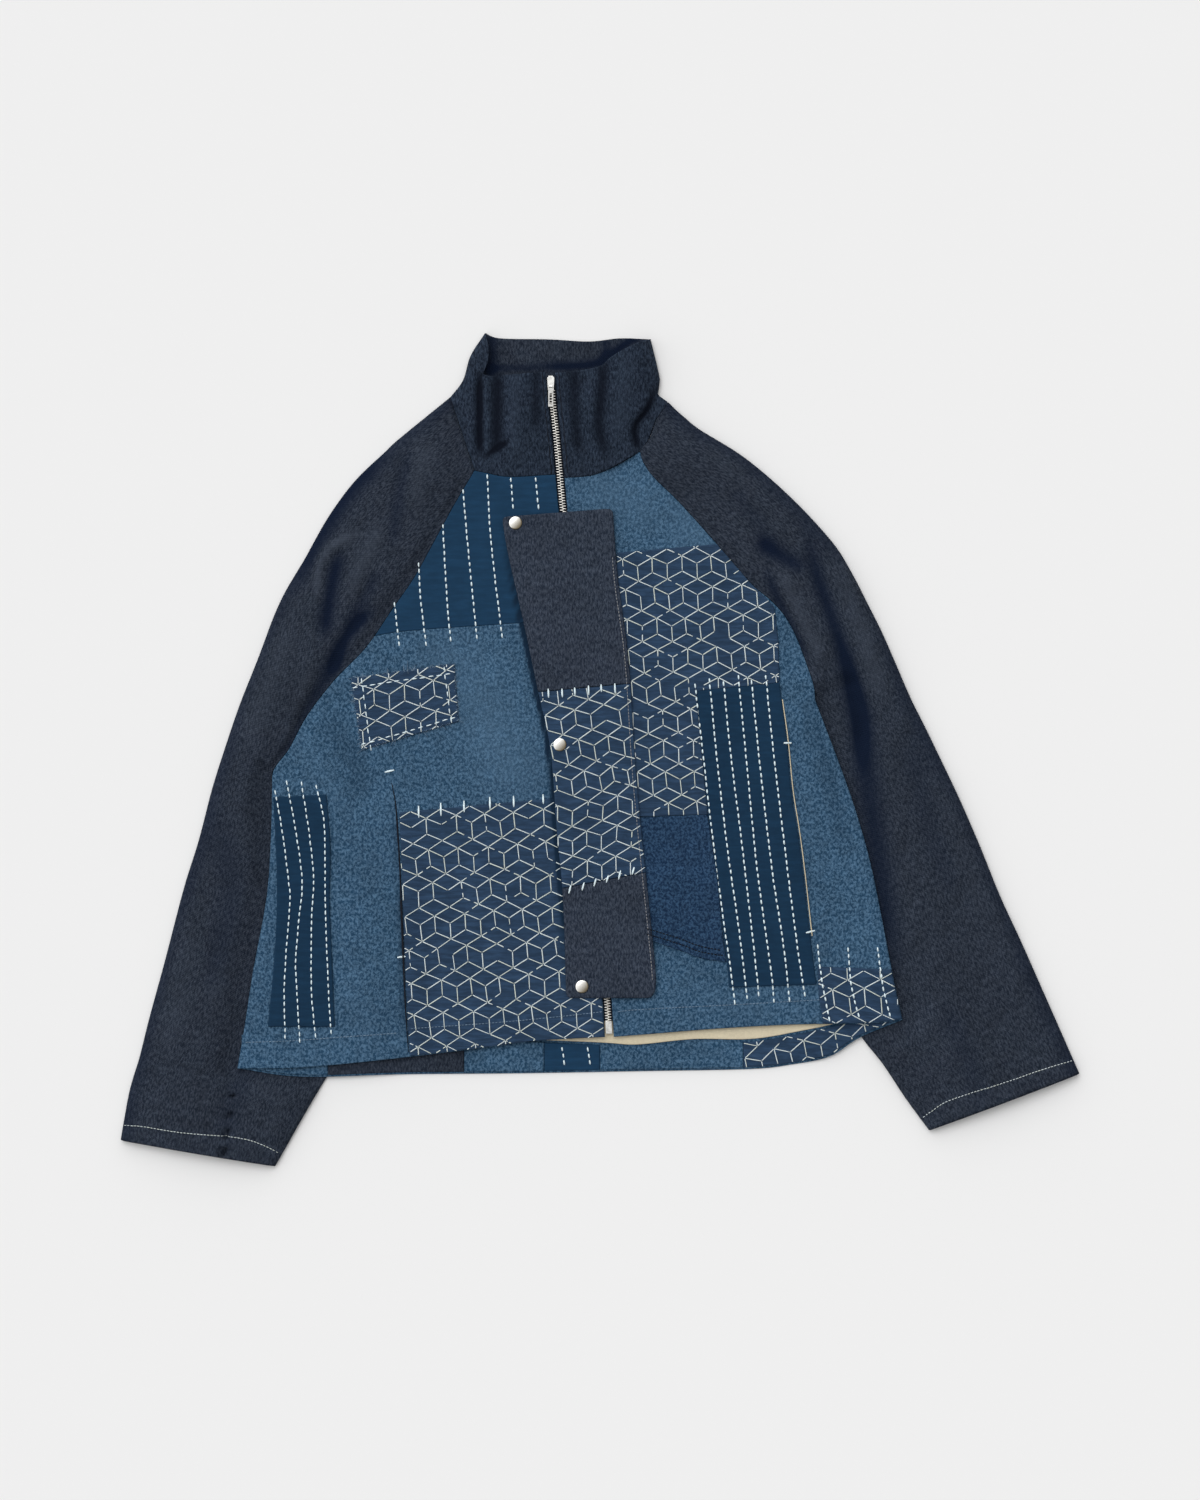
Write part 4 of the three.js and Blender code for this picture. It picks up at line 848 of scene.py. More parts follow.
def sleeve_mesh(name, side, sections=10, fold_lines=6, flat_lines=34):
    """A folded sleeve: rows from a fold to an inner edge, each a wall that runs out along the table,
    round the fold and back above it. Distance from the fold and height come from quarter circles of
    SLEEVE_FOLD at the fold and, past the underarm, at the inner edge, where the wall closes the tube.
    """
    rows = side["rows"]
    fold = smooth(rows[:, 0], sections)[:, None]
    inner = beside(smooth(rows[:, 1], sections), side["sign"] * GAP)[:, None]
    count = len(fold)
    share = np.linspace(0, len(rows) - 1, count)[:, None]
    width = np.linalg.norm(inner - fold, axis=2)
    centre = (fold + inner)[:, 0] / 2
    reach = reach_of(centre)[:, None]

    turn = np.linspace(0, np.pi / 2, fold_lines)
    flat = np.linspace(0, 1, flat_lines)[1:-1]
    closed = step(share, side["underarm"] - 0.1, side["underarm"] + 0.6)
    r, w, c = SLEEVE_FOLD, width, CLOTH
    far = np.cos(turn[::-1])
    at = np.concatenate([
        np.tile(r * (1 - np.cos(turn)), (count, 1)), r + (w - 2 * r) * flat, w - r * (1 - far)], 1)
    inside_edge = (1 - closed) * (w - r * (1 - far)) + closed * (w - c - (r - c) * (1 - far))
    inside_at = np.concatenate([
        np.tile(c + (r - c) * (1 - np.cos(turn)), (count, 1)), r + (w - 2 * r) * flat, inside_edge], 1)
    full = np.concatenate([
        np.tile(np.sin(turn), (count, 1)), np.ones((count, len(flat))),
        1 - closed * (1 - np.sin(turn[::-1]))], 1)

    def face(distances, wall):
        """The lower and the upper face at distances from the fold, a wall in from the outside."""
        place = fold + (inner - fold) * (distances / w)[..., None]
        x, y = place[..., 0], place[..., 1]
        z, shade = sleeve_top(side, x, y, share, distances / w, reach[-1] - reach)
        middle = 0.5 * np.minimum(z, FOLD_TOP)
        slit = SLEEVE_SLIT / 2 * closed
        low = middle - full * (middle - wall) - slit * (full < 0.01)
        high = middle + full * (z - wall - middle) + slit * (full < 0.01)
        ring = np.concatenate([
            np.stack([x, y, low], -1)[:, ::-1], np.stack([x, y, high], -1)[:, 1:]], 1)
        girth = np.concatenate([-distances[:, ::-1], distances[:, 1:]], 1)
        shades = np.concatenate([shade[:, ::-1], shade[:, 1:]], 1)
        return ring, girth, shades, np.stack([x, y, high], -1)

    outer, outer_girth, outer_shade, SLEEVE_TOPS[name] = face(at, 0)
    hollow, hollow_girth, hollow_shade, _ = face(inside_at, CLOTH)
    ring = np.concatenate([outer, hollow[:, ::-1]], 1)
    girth = np.concatenate([outer_girth, hollow_girth[:, ::-1]], 1)
    around, loop = outer.shape[1], ring.shape[1]
    index, walls = ring_walls(count, loop)
    k = np.arange(around - 1)
    start = np.stack([index[0, k], index[0, loop - 1 - k], index[0, loop - 2 - k], index[0, k + 1]], -1)
    end = np.stack([index[-1, k], index[-1, k + 1], index[-1, loop - 2 - k], index[-1, loop - 1 - k]], -1)
    uv = np.stack([girth, np.broadcast_to(reach, girth.shape)], -1).reshape(-1, 2)
    # Painted shade of the creases and of the folded edge, kept in the fold attribute.
    shades = np.concatenate([outer_shade, hollow_shade[:, ::-1]], 1).ravel()
    points = ring.reshape(-1, 3)
    faces = outward(points, np.vstack([walls, start, end]))
    mesh = write_mesh(name + "_cloth", points, [faces], uv, {"fold": shades})
    cut = (2 * width.max() * MM, reach[-1, 0] * MM)
    return mesh, cut, 2 * np.trapz(width[:, 0], reach[:, 0]) * MM * MM


def on_grid(grid, x, y):
    """Height of a gridded face at other places: its four nearest points, weighted by nearness."""
    points = grid.reshape(-1, 3)
    gaps = np.hypot(x[..., None] - points[:, 0], y[..., None] - points[:, 1]) + 1e-6
    near = np.argpartition(gaps, 4, axis=-1)[..., :4]
    weight = 1 / np.take_along_axis(gaps, near, -1)
    return (points[near, 2] * weight).sum(-1) / weight.sum(-1)


# ------------------------------------------------------------------ finishes

def feed(tree, node, inputs):
    """Sets a node's inputs: each is a value, or a socket to link from."""
    for key, value in inputs.items():
        if isinstance(value, bpy.types.NodeSocket):
            tree.links.new(value, node.inputs[key])
        else:
            node.inputs[key].default_value = value


def add_node(tree, kind, inputs=None, **settings):
    """A node with its settings and its inputs."""
    node = tree.nodes.new(kind)
    for key, value in settings.items():
        setattr(node, key, value)
    feed(tree, node, inputs or {})
    return node


def noise(tree, vector, scale, detail, **more):
    """Soft noise from 0 to 1."""
    inputs = {"Vector": vector, "Scale": scale, "Detail": detail, **more}
    return add_node(tree, "ShaderNodeTexNoise", inputs).outputs[0]


def bands(tree, vector, scale, direction="DIAGONAL", **more):
    """Even ridges from 0 to 1, across one direction."""
    inputs = {"Vector": vector, "Scale": scale, **more}
    return add_node(
        tree, "ShaderNodeTexWave", inputs, wave_type="BANDS", bands_direction=direction).outputs[1]


def mix(tree, factor, a, b, blend="MIX"):
    """A colour between a and b."""
    node = add_node(tree, "ShaderNodeMix", {0: factor, 6: a, 7: b}, data_type="RGBA", blend_type=blend)
    return node.outputs[2]


def calculate(tree, operation, *values):
    """The result of one operation on numbers."""
    return add_node(tree, "ShaderNodeMath", dict(enumerate(values)), operation=operation).outputs[0]


def spread(tree, value, low, high, to_low=0.0, to_high=1.0):
    """A number's range stretched to another, and clamped to it."""
    inputs = {0: value, 1: low, 2: high, 3: to_low, 4: to_high}
    return add_node(tree, "ShaderNodeMapRange", inputs).outputs[0]


def effect(name, sockets, outputs, build):
    """A shader node group, made once: build gets the tree and its inputs, and returns its outputs."""
    tree = bpy.data.node_groups.get(name)
    if tree:
        return tree
    tree = bpy.data.node_groups.new(name, "ShaderNodeTree")
    for socket, (kind, default) in sockets.items():
        made = tree.interface.new_socket(name=socket, in_out="INPUT", socket_type="NodeSocket" + kind)
        if default is not None:
            made.default_value = default
    for socket, kind in outputs.items():
        tree.interface.new_socket(name=socket, in_out="OUTPUT", socket_type="NodeSocket" + kind)
    entry = tree.nodes.new("NodeGroupInput")
    leave = tree.nodes.new("NodeGroupOutput")
    results = build(tree, {socket: entry.outputs[socket] for socket in sockets})
    for socket, result in zip(outputs, results):
        tree.links.new(result, leave.inputs[socket])
    return tree


def flecks():
    """Slubs of uneven yarn: noise stretched along the warp, cut to a soft mask."""
    def build(tree, given):
        scale = add_node(tree, "ShaderNodeCombineXYZ", {0: given["Across"], 1: given["Along"], 2: 1.0})
        place = add_node(tree, "ShaderNodeVectorMath", {0: given["Vector"], 1: scale.outputs[0]},
                         operation="MULTIPLY")
        slubs = noise(tree, place.outputs[0], 1.0, 3.0, Roughness=0.65, Distortion=0.4)
        return [spread(tree, slubs, given["Low"], given["High"])]
    sockets = {"Vector": ("Vector", None), "Across": ("Float", 700.0), "Along": ("Float", 300.0),
               "Low": ("Float", 0.4), "High": ("Float", 0.7)}
    return effect("Yarn flecks", sockets, {"Mask": "Float"}, build)


def weave():
    """Twill: fine ridges on the diagonal, crossed by weaker ones along the warp."""
    def build(tree, given):
        ridges = bands(tree, given["Vector"], given["Scale"], Distortion=1.5, Detail=1.0)
        warp = bands(tree, given["Vector"], given["Scale"], "X")
        return [calculate(tree, "ADD", ridges, calculate(tree, "MULTIPLY", warp, 0.5))]
    sockets = {"Vector": ("Vector", None), "Scale": ("Float", 260.0)}
    return effect("Twill weave", sockets, {"Height": "Float"}, build)


def crease_shade():
    """Painted shade and highlight: the colour goes to a shade tone in a crease and to a paler tone along a
    lit ridge.
    """
    def build(tree, given):
        painted_shade = spread(tree, given["Fold"], 0.05, 1.0)
        pale = spread(tree, given["Fold"], -0.02, -1.0)
        lighter = mix(tree, calculate(tree, "MULTIPLY", pale, 0.75), given["Colour"], given["Pale"])
        return [mix(tree, painted_shade, lighter, given["Deep"])]
    sockets = {"Colour": ("Color", None), "Deep": ("Color", None), "Pale": ("Color", None),
               "Fold": ("Float", 0.0)}
    return effect("Crease shade", sockets, {"Colour": "Color"}, build)


def mottle():
    """Broad unevenness of dye and wear: two sizes of soft noise, as a factor round one."""
    def build(tree, given):
        both = calculate(tree, "ADD", noise(tree, given["Vector"], 22.0, 2.0),
                         noise(tree, given["Vector"], 110.0, 2.0))
        swing = calculate(tree, "MULTIPLY", calculate(tree, "SUBTRACT", both, 1.0), given["Amount"])
        factor = calculate(tree, "ADD", swing, 1.0)
        return [add_node(tree, "ShaderNodeVectorMath", {0: given["Colour"], "Scale": factor},
                         operation="SCALE").outputs[0]]
    sockets = {"Vector": ("Vector", None), "Colour": ("Color", None), "Amount": ("Float", 0.5)}
    return effect("Dye mottle", sockets, {"Colour": "Color"}, build)


def use(tree, group, **inputs):
    """An effect placed in a material with its own values."""
    return add_node(tree, "ShaderNodeGroup", inputs, node_tree=group).outputs[0]


def new_finish(name):
    """An empty material and its shader."""
    material = bpy.data.materials.new(name)
    material.use_nodes = True
    tree = material.node_tree
    return tree, tree.nodes["Principled BSDF"]


def bump(tree, height, metres, strength=1.0):
    """The normal of a surface in relief."""
    inputs = {"Height": height, "Distance": metres, "Strength": strength}
    return add_node(tree, "ShaderNodeBump", inputs).outputs[0]


def rgba(value):
    """A colour setting with full alpha."""
    return (*value, 1.0)


def times(factor, tone):
    """A colour made brighter or darker."""
    return tuple(factor * c for c in tone)


def add_cloth_finish(name, ground, fleck, painted_shade, across, along, low, high, second=0.25, twill=260.0,
                     relief=0.0003, amount=0.5):
    """Woven cloth: two sizes of fleck on a ground, mottled dye, painted shade in creases and a painted
    highlight on ridges, and a twill in relief.
    """
    tree, shader = new_finish(name)
    cloth = add_node(tree, "ShaderNodeUVMap", uv_map="cloth").outputs[0]
    # The painted shade of the creases, and a painted highlight where it is below 0.
    fold = add_node(tree, "ShaderNodeAttribute", attribute_name="fold").outputs["Fac"]
    mask = use(tree, flecks(), Vector=cloth, Across=across, Along=along, Low=low, High=high)
    fine = use(tree, flecks(), Vector=cloth, Across=across * 2.6, Along=along * 2.6, Low=0.35, High=0.75)
    height = use(tree, weave(), Vector=cloth, Scale=twill)
    both = calculate(tree, "ADD", calculate(tree, "MULTIPLY", mask, 1 - second),
                     calculate(tree, "MULTIPLY", fine, second))
    yarn = mix(tree, both, rgba(ground), rgba(fleck))
    dyed = use(tree, mottle(), Vector=cloth, Colour=yarn, Amount=amount)
    shaded = use(tree, crease_shade(), Colour=dyed, Deep=rgba(painted_shade), Pale=rgba(fleck), Fold=fold)
    feed(tree, shader, {
        "Base Color": shaded, "Normal": bump(tree, calculate(tree, "ADD", height, both), relief, 0.7),
        "Roughness": 0.92, "Specular IOR Level": 0.12})


def add_thread_finish(name, tone, other, twist_shade=0.15):
    """Cotton thread: each strand has a tint between two tones, and a fine twist whose grooves are darkened by
    painted shade.
    """
    tree, shader = new_finish(name)
    tint = add_node(tree, "ShaderNodeAttribute", attribute_name="tint").outputs["Fac"]
    place = add_node(tree, "ShaderNodeTexCoord").outputs["Object"]
    twist = bands(tree, place, 420.0, Distortion=2.0)
    strand = mix(tree, spread(tree, tint, 0.35, 1.0), rgba(tone), rgba(other))
    # Painted shade in the grooves of the twist.
    hollow = spread(tree, twist, 0.0, 1.0, twist_shade, 0.0)
    shadow = mix(tree, hollow, strand, (0.40, 0.37, 0.3, 1.0), "MULTIPLY")
    feed(tree, shader, {"Base Color": shadow, "Normal": bump(tree, twist, 0.0002), "Roughness": 0.8,
                        "Specular IOR Level": 0.2})


def add_metal_finish(name, tone, rough):
    """Polished nickel: hairline wear in its roughness and a little tarnish in its colour."""
    tree, shader = new_finish(name)
    place = add_node(tree, "ShaderNodeTexCoord").outputs["Object"]
    wear = use(tree, flecks(), Vector=place, Across=2500.0, Along=260.0, Low=0.35, High=0.8)
    tarnish = spread(tree, noise(tree, place, 320.0, 3.0), 0.45, 0.8)
    feed(tree, shader, {
        "Base Color": mix(tree, tarnish, rgba(tone), rgba(times(0.6, tone))), "Metallic": 1.0,
        "Roughness": spread(tree, wear, 0.0, 1.0, rough, rough + 0.18)})


def add_snap_finish(name):
    """Polished nickel of a small dome, with a painted reflection: dark bronze on the side away from the
    window, bright on the other.
    """
    tree, shader = new_finish(name)
    painted_reflection = add_node(tree, "ShaderNodeAttribute", attribute_name="painted_reflection").outputs["Fac"]
    tone = mix(tree, spread(tree, painted_reflection, -0.10, 0.06), (0.30, 0.25, 0.17, 1.0), (0.92, 0.91, 0.87, 1.0))
    feed(tree, shader, {"Base Color": tone, "Metallic": 1.0, "Roughness": 0.22})


def add_finishes(cloths):
    """Every material of the jacket. A cloth's numbers are the flecks' scale across and along the warp,
    and the two noise levels between which a fleck appears."""
    # Painted shade: the navy painted in the creases of the paler cloths.
    crease_shade_blue = (0.006, 0.020, 0.044)
    fine = {"second": 0.2, "twill": 420.0, "relief": 0.00015, "amount": 0.2}
    for name, ground, fleck, painted_shade, numbers, more in (
            ("dark_denim", cloths.denim_dark, cloths.denim_dark_fleck, cloths.crease_shade_navy,
             (640.0, 240.0, 0.40, 0.64), {}),
            ("collar_denim", (0.0028, 0.0063, 0.0145), (0.0385, 0.0560, 0.0880), (0.002, 0.004, 0.010),
             (640.0, 240.0, 0.40, 0.66), {}),
            ("placket_denim", times(1.3, cloths.denim_dark), times(1.3, cloths.denim_dark_fleck),
             cloths.crease_shade_navy, (640.0, 250.0, 0.40, 0.64), {}),
            ("light_denim", cloths.denim_light, cloths.denim_light_fleck, crease_shade_blue,
             (420.0, 330.0, 0.42, 0.60), {}),
            ("jeans_denim", cloths.denim_worn, cloths.denim_worn_fleck, crease_shade_blue,
             (440.0, 380.0, 0.42, 0.60), {}),
            ("navy_weave", cloths.navy, times(1.3, cloths.navy), crease_shade_blue, (40.0, 260.0, 0.42, 0.70), fine),
            ("striped_navy", times(0.74, cloths.navy), cloths.navy, crease_shade_blue,
             (40.0, 260.0, 0.42, 0.70), fine),
            ("sashiko_ground", cloths.sashiko, times(1.8, cloths.sashiko), crease_shade_blue,
             (45.0, 300.0, 0.42, 0.66), {"twill": 360.0, "relief": 0.00025, "amount": 0.35}),
            ("lining_cotton", times(0.9, cloths.lining), cloths.lining, (0.18, 0.15, 0.10),
             (400.0, 400.0, 0.4, 0.6), {"twill": 420.0, "relief": 0.00012, "amount": 0.1}),
            ("zip_braid", (0.006, 0.008, 0.014), (0.012, 0.016, 0.026), (0.003, 0.004, 0.008),
             (500.0, 500.0, 0.4, 0.6), {"twill": 500.0, "amount": 0.2})):
        add_cloth_finish(name, ground, fleck, painted_shade, *numbers, **more)
    add_thread_finish("thread", cloths.thread, (0.68, 0.74, 0.68))
    add_thread_finish("white_thread", (0.78, 0.92, 0.97), (0.76, 0.88, 0.92), 0.0)
    add_thread_finish("tan_thread", (0.33, 0.33, 0.34), (0.26, 0.27, 0.30))
    add_thread_finish("blue_thread", (0.20, 0.29, 0.40), (0.13, 0.20, 0.29))
    # Black thread, also used for the lines of painted shadow in the pocket slit and the collar's seams.
    add_thread_finish("black_thread_and_shadow_lines", (0.004, 0.006, 0.012), (0.008, 0.010, 0.018))
    add_metal_finish("nickel", (0.86, 0.86, 0.83), 0.16)
    add_snap_finish("snap_nickel")
    add_metal_finish("zip_nickel", (0.96, 0.94, 0.89), 0.38)


# ------------------------------------------------------------------ operators

class BORO_OT_stage(bpy.types.Operator):
    """Floor, soft light and a camera straight above the table"""
    bl_idname = "boro.stage"
    bl_label = "Stage"

    def execute(self, context):
        settings = context.scene.jacket_stage
        corners = [(x * FLOOR_HALF, y * FLOOR_HALF, FLOOR_LEVEL)
                   for x, y in ((-1, -1), (1, -1), (1, 1), (-1, 1))]
        mesh = write_mesh("floor", corners, [np.array([[0, 1, 2, 3]])])
        floor = add_object("floor", mesh)
        feed(*new_finish("floor"), {
            "Base Color": rgba(settings.floor), "Roughness": 1.0, "Specular IOR Level": 0.0})
        mesh.materials.append(bpy.data.materials["floor"])

        world = bpy.data.worlds.new("studio")
        world.use_nodes = True
        tree = world.node_tree
        tree.nodes["Background"].inputs["Color"].default_value = (1.0, 1.0, 1.0, 1.0)
        toward = add_node(tree, "ShaderNodeVectorMath", {
            0: add_node(tree, "ShaderNodeTexCoord").outputs["Generated"], 1: (-0.55, 0.65, 0.0)},
            operation="DOT_PRODUCT").outputs["Value"]
        level = spread(tree, toward, -0.6, 0.6, 0.25, 1.75)
        tree.links.new(calculate(tree, "MULTIPLY", level, settings.sky),
                       tree.nodes["Background"].inputs["Strength"])
        context.scene.world = world
        lamp = bpy.data.lights.new("soft_sun", "SUN")
        lamp.energy = settings.sun
        lamp.angle = 0.7
        add_object("soft_sun", lamp).rotation_euler = (-0.45, -0.35, 0)

        camera = bpy.data.cameras.new("camera")
        camera.lens = settings.lens
        camera.sensor_width = 36.0
        camera.clip_end = 20.0
        view = add_object("camera", camera)
        view.location = (0, 0, settings.lens * settings.view_height / camera.sensor_width)
        context.scene.camera = view
        context.scene.view_settings.view_transform = "Standard"
        return {"FINISHED"}


class BORO_OT_back(bpy.types.Operator):
    """Back panel, lining and the patched facing of its hem"""
    bl_idname = "boro.back"
    bl_label = "Back, lining and hem facing"

    def execute(self, context):
        left = np.vstack([right_side[:-1], right_raglan])
        right = np.vstack([left_side[:-1], left_raglan])
        back = between(smooth(BACK_HEM), smooth(BACK_NECK), left, right, BACK_CELL)
        add_cloth("back_panel", back, lower_lay, CLOTH, "light_denim",
                  ["right_sleeve_cloth", "left_sleeve_cloth"])

        facing_top_run, hem = smooth(FACING_TOP), beside(smooth(BACK_HEM), -2.0)
        west, east = beside(right_side, 3), beside(left_side, -3)
        top = np.array([span(run, LINING_TOP - 1, LINING_TOP)[-1] for run in (west, east)])
        lining = between(
            beside(span(facing_top_run, west[2, 0], east[2, 0], axis=0), -GAP), top,
            span(west, -269, LINING_TOP), span(east, -245, LINING_TOP), BACK_CELL)
        add_cloth("back_lining", lining, raised(lower_lay, LIFT), LINING, "lining_cotton", ["back_panel"])

        cloths = ["light_denim", "dark_denim", "light_denim", "navy_weave", "light_denim", "sashiko_ground"]
        for number, finish in enumerate(cloths, 1):
            start, end = FACING_SEAMS[number - 1] + GAP / 2, FACING_SEAMS[number] - GAP / 2
            low, high = span(hem, start, end, axis=0), span(facing_top_run, start, end, axis=0)
            patch = between(low, high, np.array([low[0], high[0]]), np.array([low[-1], high[-1]]))
            add_cloth(f"back_hem_facing_{number}", patch, raised(lower_lay, LIFT), CLOTH, finish,
                      ["back_panel"])
        return {"FINISHED"}


class BORO_OT_sleeves(bpy.types.Operator):
    """The two raglan sleeves, folded flat and swelling, with open cuffs"""
    bl_idname = "boro.sleeves"
    bl_label = "Sleeves"

    def execute(self, context):
        for name, side in SLEEVES.items():
            mesh, cut, area = sleeve_mesh(name, side)
            sleeve = add_piece(name + "_cloth", mesh, "dark_denim", [name])
        return {"FINISHED"}


class BORO_OT_fronts(bpy.types.Operator):
    """Both fronts and the navy yoke of the right one"""
    bl_idname = "boro.fronts"
    bl_label = "Fronts"

    def execute(self, context):
        right_zip, left_zip = beside(zip_line, -ZIP_EDGE), beside(zip_line, ZIP_EDGE)
        seam = smooth(YOKE_SEAM)
        outer_seam, inner_seam = YOKE_SEAM[0][1], YOKE_SEAM[-1][1]
        yoke = between(
            seam + (0, GAP / 2), smooth(RIGHT_NECK), span(right_raglan, outer_seam, RIGHT_NECK[0][1]),
            span(right_zip, inner_seam, RIGHT_NECK[-1][1]))
        outer_edge = np.vstack([right_side[:-1], span(right_raglan, RIGHT_SIDE[-1][1], outer_seam)])
        body = between(smooth(RIGHT_HEM), seam - (0, GAP / 2), outer_edge,
                       span(right_zip, RIGHT_HEM[-1][1], inner_seam))
        left = between(smooth(LEFT_HEM), smooth(LEFT_NECK), span(left_zip, LEFT_HEM[0][1], LEFT_NECK[0][1]),
                       np.vstack([left_side[:-1], left_raglan]))
        for name, patch, finish in (("right_yoke", yoke, "navy_weave"),
                                    ("right_front_body", body, "light_denim"),
                                    ("left_front_body", left, "light_denim")):
            add_cloth(name, patch, upper_lay, CLOTH, finish, ["back_panel"], FRONT_CREASES)
        return {"FINISHED"}


class BORO_OT_patches(bpy.types.Operator):
    """The patches sewn on the fronts, and the pale welt of the left pocket"""
    bl_idname = "boro.patches"
    bl_label = "Patches"

    def execute(self, context):
        on_front = raised(upper_lay, LIFT)

        def sew(name, patch, finish, **more):
            """Lays a patch on the front of its side."""
            front = name.split("_")[0] + "_front_body"
            add_cloth(name, patch, on_front, CLOTH, finish, [front], **more)

        chest = np.array(CHEST_PATCH, float)
        hem_right, hem_left = beside(smooth(RIGHT_HEM), -0.6), beside(smooth(LEFT_HEM), -0.6)
        sew("right_chest_patch", between(chest[:2], chest[[3, 2]], chest[[0, 3]], chest[[1, 2]]),
            "sashiko_ground", turn=0.14)
        sew("right_pocket_panel", between(
            span(hem_right, POCKET_LEFT[0][0], RIGHT_HEM[-1][0] - 2, axis=0), np.array(POCKET_TOP, float),
            smooth(POCKET_LEFT), span(
                beside(zip_line, -ZIP_EDGE - 0.6), RIGHT_HEM[-1][1], POCKET_TOP[-1][1])), "sashiko_ground",
            creases=FRONT_CREASES)
        sew("right_side_patch", strip(smooth(SIDE_PATCH_LEFT), smooth(SIDE_PATCH_RIGHT)), "striped_navy")

        sew("left_chest_panel", ruled(CHEST_PANEL_ROWS), "sashiko_ground")
        left, right = np.array(STRIPE_LEFT, float), smooth(STRIPE_RIGHT)
        sew("left_jeans_patch", between(
            smooth(JEANS_BOTTOM), np.array(JEANS_TOP, float) - (0, GAP), np.array(JEANS_LEFT, float),
            beside(span(left, JEANS_BOTTOM[-1][1], JEANS_TOP[-1][1]), -GAP)), "jeans_denim")
        run = smooth(WELT)[::-1]
        welt = add_sheet("left_pocket_welt_cloth", strip(run + (GAP, 0), run + (WELT_WIDTH, 0)), on_front,
                         CLOTH, "lining_cotton")
        sew("left_stripe_panel", between(
            np.array([left[0], right[0]]), np.array([left[-1], right[-1]]) - (0, GAP),
            smooth(left + (GAP, 0), 3), right), "striped_navy", with_pieces=[welt])
        sew("left_corner_patch", between(
            span(hem_left, CORNER_LEFT[0][0], LEFT_HEM[-1][0] - 1, axis=0), np.array(CORNER_TOP, float),
            smooth(CORNER_LEFT), span(
                beside(left_side, -0.7), LEFT_SIDE[0][1] + 1, CORNER_TOP[-1][1])), "sashiko_ground",
            turn=-0.1)
        return {"FINISHED"}


def rounded_corners(patch, corners, radius=PLACKET_CORNER):
    """A grid with some corners rounded: near a corner the square of side `radius` becomes a disc.

    With a and b the shares of the way into the corner, a goes to a sqrt(1 - b b / 2), and b likewise.
    """
    grid, border = patch
    for row_end, column_end in corners:
        rows = grid[::-1] if row_end else grid
        view = rows[:, ::-1] if column_end else rows
        corner = view[0, 0]
        along_row = view[0, -1] - corner
        up_column = view[-1, 0] - corner
        along_row, up_column = along_row / np.linalg.norm(along_row), up_column / np.linalg.norm(up_column)
        basis = np.linalg.inv(np.stack([along_row, up_column], 1))
        place = (view - corner) @ basis.T
        a, b = np.clip(1 - place[..., 0] / radius, 0, 1), np.clip(1 - place[..., 1] / radius, 0, 1)
        shift = np.stack([a - a * np.sqrt(1 - b * b / 2), b - b * np.sqrt(1 - a * a / 2)], -1) * radius
        view += shift @ np.stack([along_row, up_column])
    return grid, border


class BORO_OT_placket(bpy.types.Operator):
    """The placket of three cloths that covers the zip"""
    bl_idname = "boro.placket"
    bl_label = "Placket"

    def execute(self, context):
        free, sewn = smooth(PLACKET_FREE_EDGE), smooth(PLACKET_SEWN_EDGE)
        (high_left, high_right), (low_left, low_right) = PLACKET_SEAMS
        levels = [
            (PLACKET_FREE_EDGE[0][1], PLACKET_SEWN_EDGE[0][1]), (low_left[1], low_right[1]),
            (high_left[1], high_right[1]), (PLACKET_FREE_EDGE[-1][1], PLACKET_SEWN_EDGE[-1][1])]
        cloths = [
            ("placket_bottom", "placket_denim", [(0, 0), (0, 1)]),
            ("placket_middle", "sashiko_ground", []),
            ("placket_top", "placket_denim", [(1, 0), (1, 1)]),
        ]
        height = raised(upper_lay, 2 * LIFT)
        outline = []
        for k, (name, finish, corners) in enumerate(cloths):
            west = span(free, levels[k][0] + GAP / 2, levels[k + 1][0] - GAP / 2)
            east = span(sewn, levels[k][1] + GAP / 2, levels[k + 1][1] - GAP / 2)
            patch = rounded_corners(strip(west, east), corners)
            add_cloth(name, patch, height, PLACKET, finish, ["left_front_body"])
            outline.append((west, east))
        PANELS["placket"] = np.vstack([w for w, _ in outline] + [e[::-1] for _, e in outline[::-1]])
        return {"FINISHED"}


class BORO_OT_collar(bpy.types.Operator):
    """The standing collar, lying down: its back, and its front on each side of the zip"""
    bl_idname = "boro.collar"
    bl_label = "Collar"

    def execute(self, context):
        right_zip, left_zip = beside(zip_line, -ZIP_EDGE), beside(zip_line, ZIP_EDGE)
        seam_left = right_rows[0, ::-1]
        neck_right = left_rows[LEFT_NECK_ROW::-1, 1]
        left = np.vstack([seam_left, smooth(COLLAR_RIGHT_SIDE)[1:]])
        right = np.vstack([neck_right, collar_left_side])
        front_right = between(smooth(RIGHT_NECK) + (0, GAP), smooth(COLLAR_RIGHT_TOP, 4), left,
                              span(right_zip, RIGHT_NECK[-1][1], COLLAR_RIGHT_TOP[-1][1] - 1), COLLAR_CELL)
        front_left = between(smooth(LEFT_NECK) + (0, GAP), smooth(COLLAR_LEFT_TOP),
                             span(left_zip, LEFT_NECK[0][1], COLLAR_LEFT_TOP[0][1] - 1), right, COLLAR_CELL)
        back = between(smooth(BACK_NECK), smooth(COLLAR_BACK_TOP), left, right, BACK_COLLAR_CELL)
        add_cloth("collar_back", back, lower_lay, COLLAR, "dark_denim", ["floor"], INNER_COLLAR_CREASES)
        for name, patch in (("collar_front_right", front_right), ("collar_front_left", front_left)):
            add_cloth(name, patch, upper_lay, COLLAR, "collar_denim", ["collar_back"], COLLAR_CREASES)
        return {"FINISHED"}


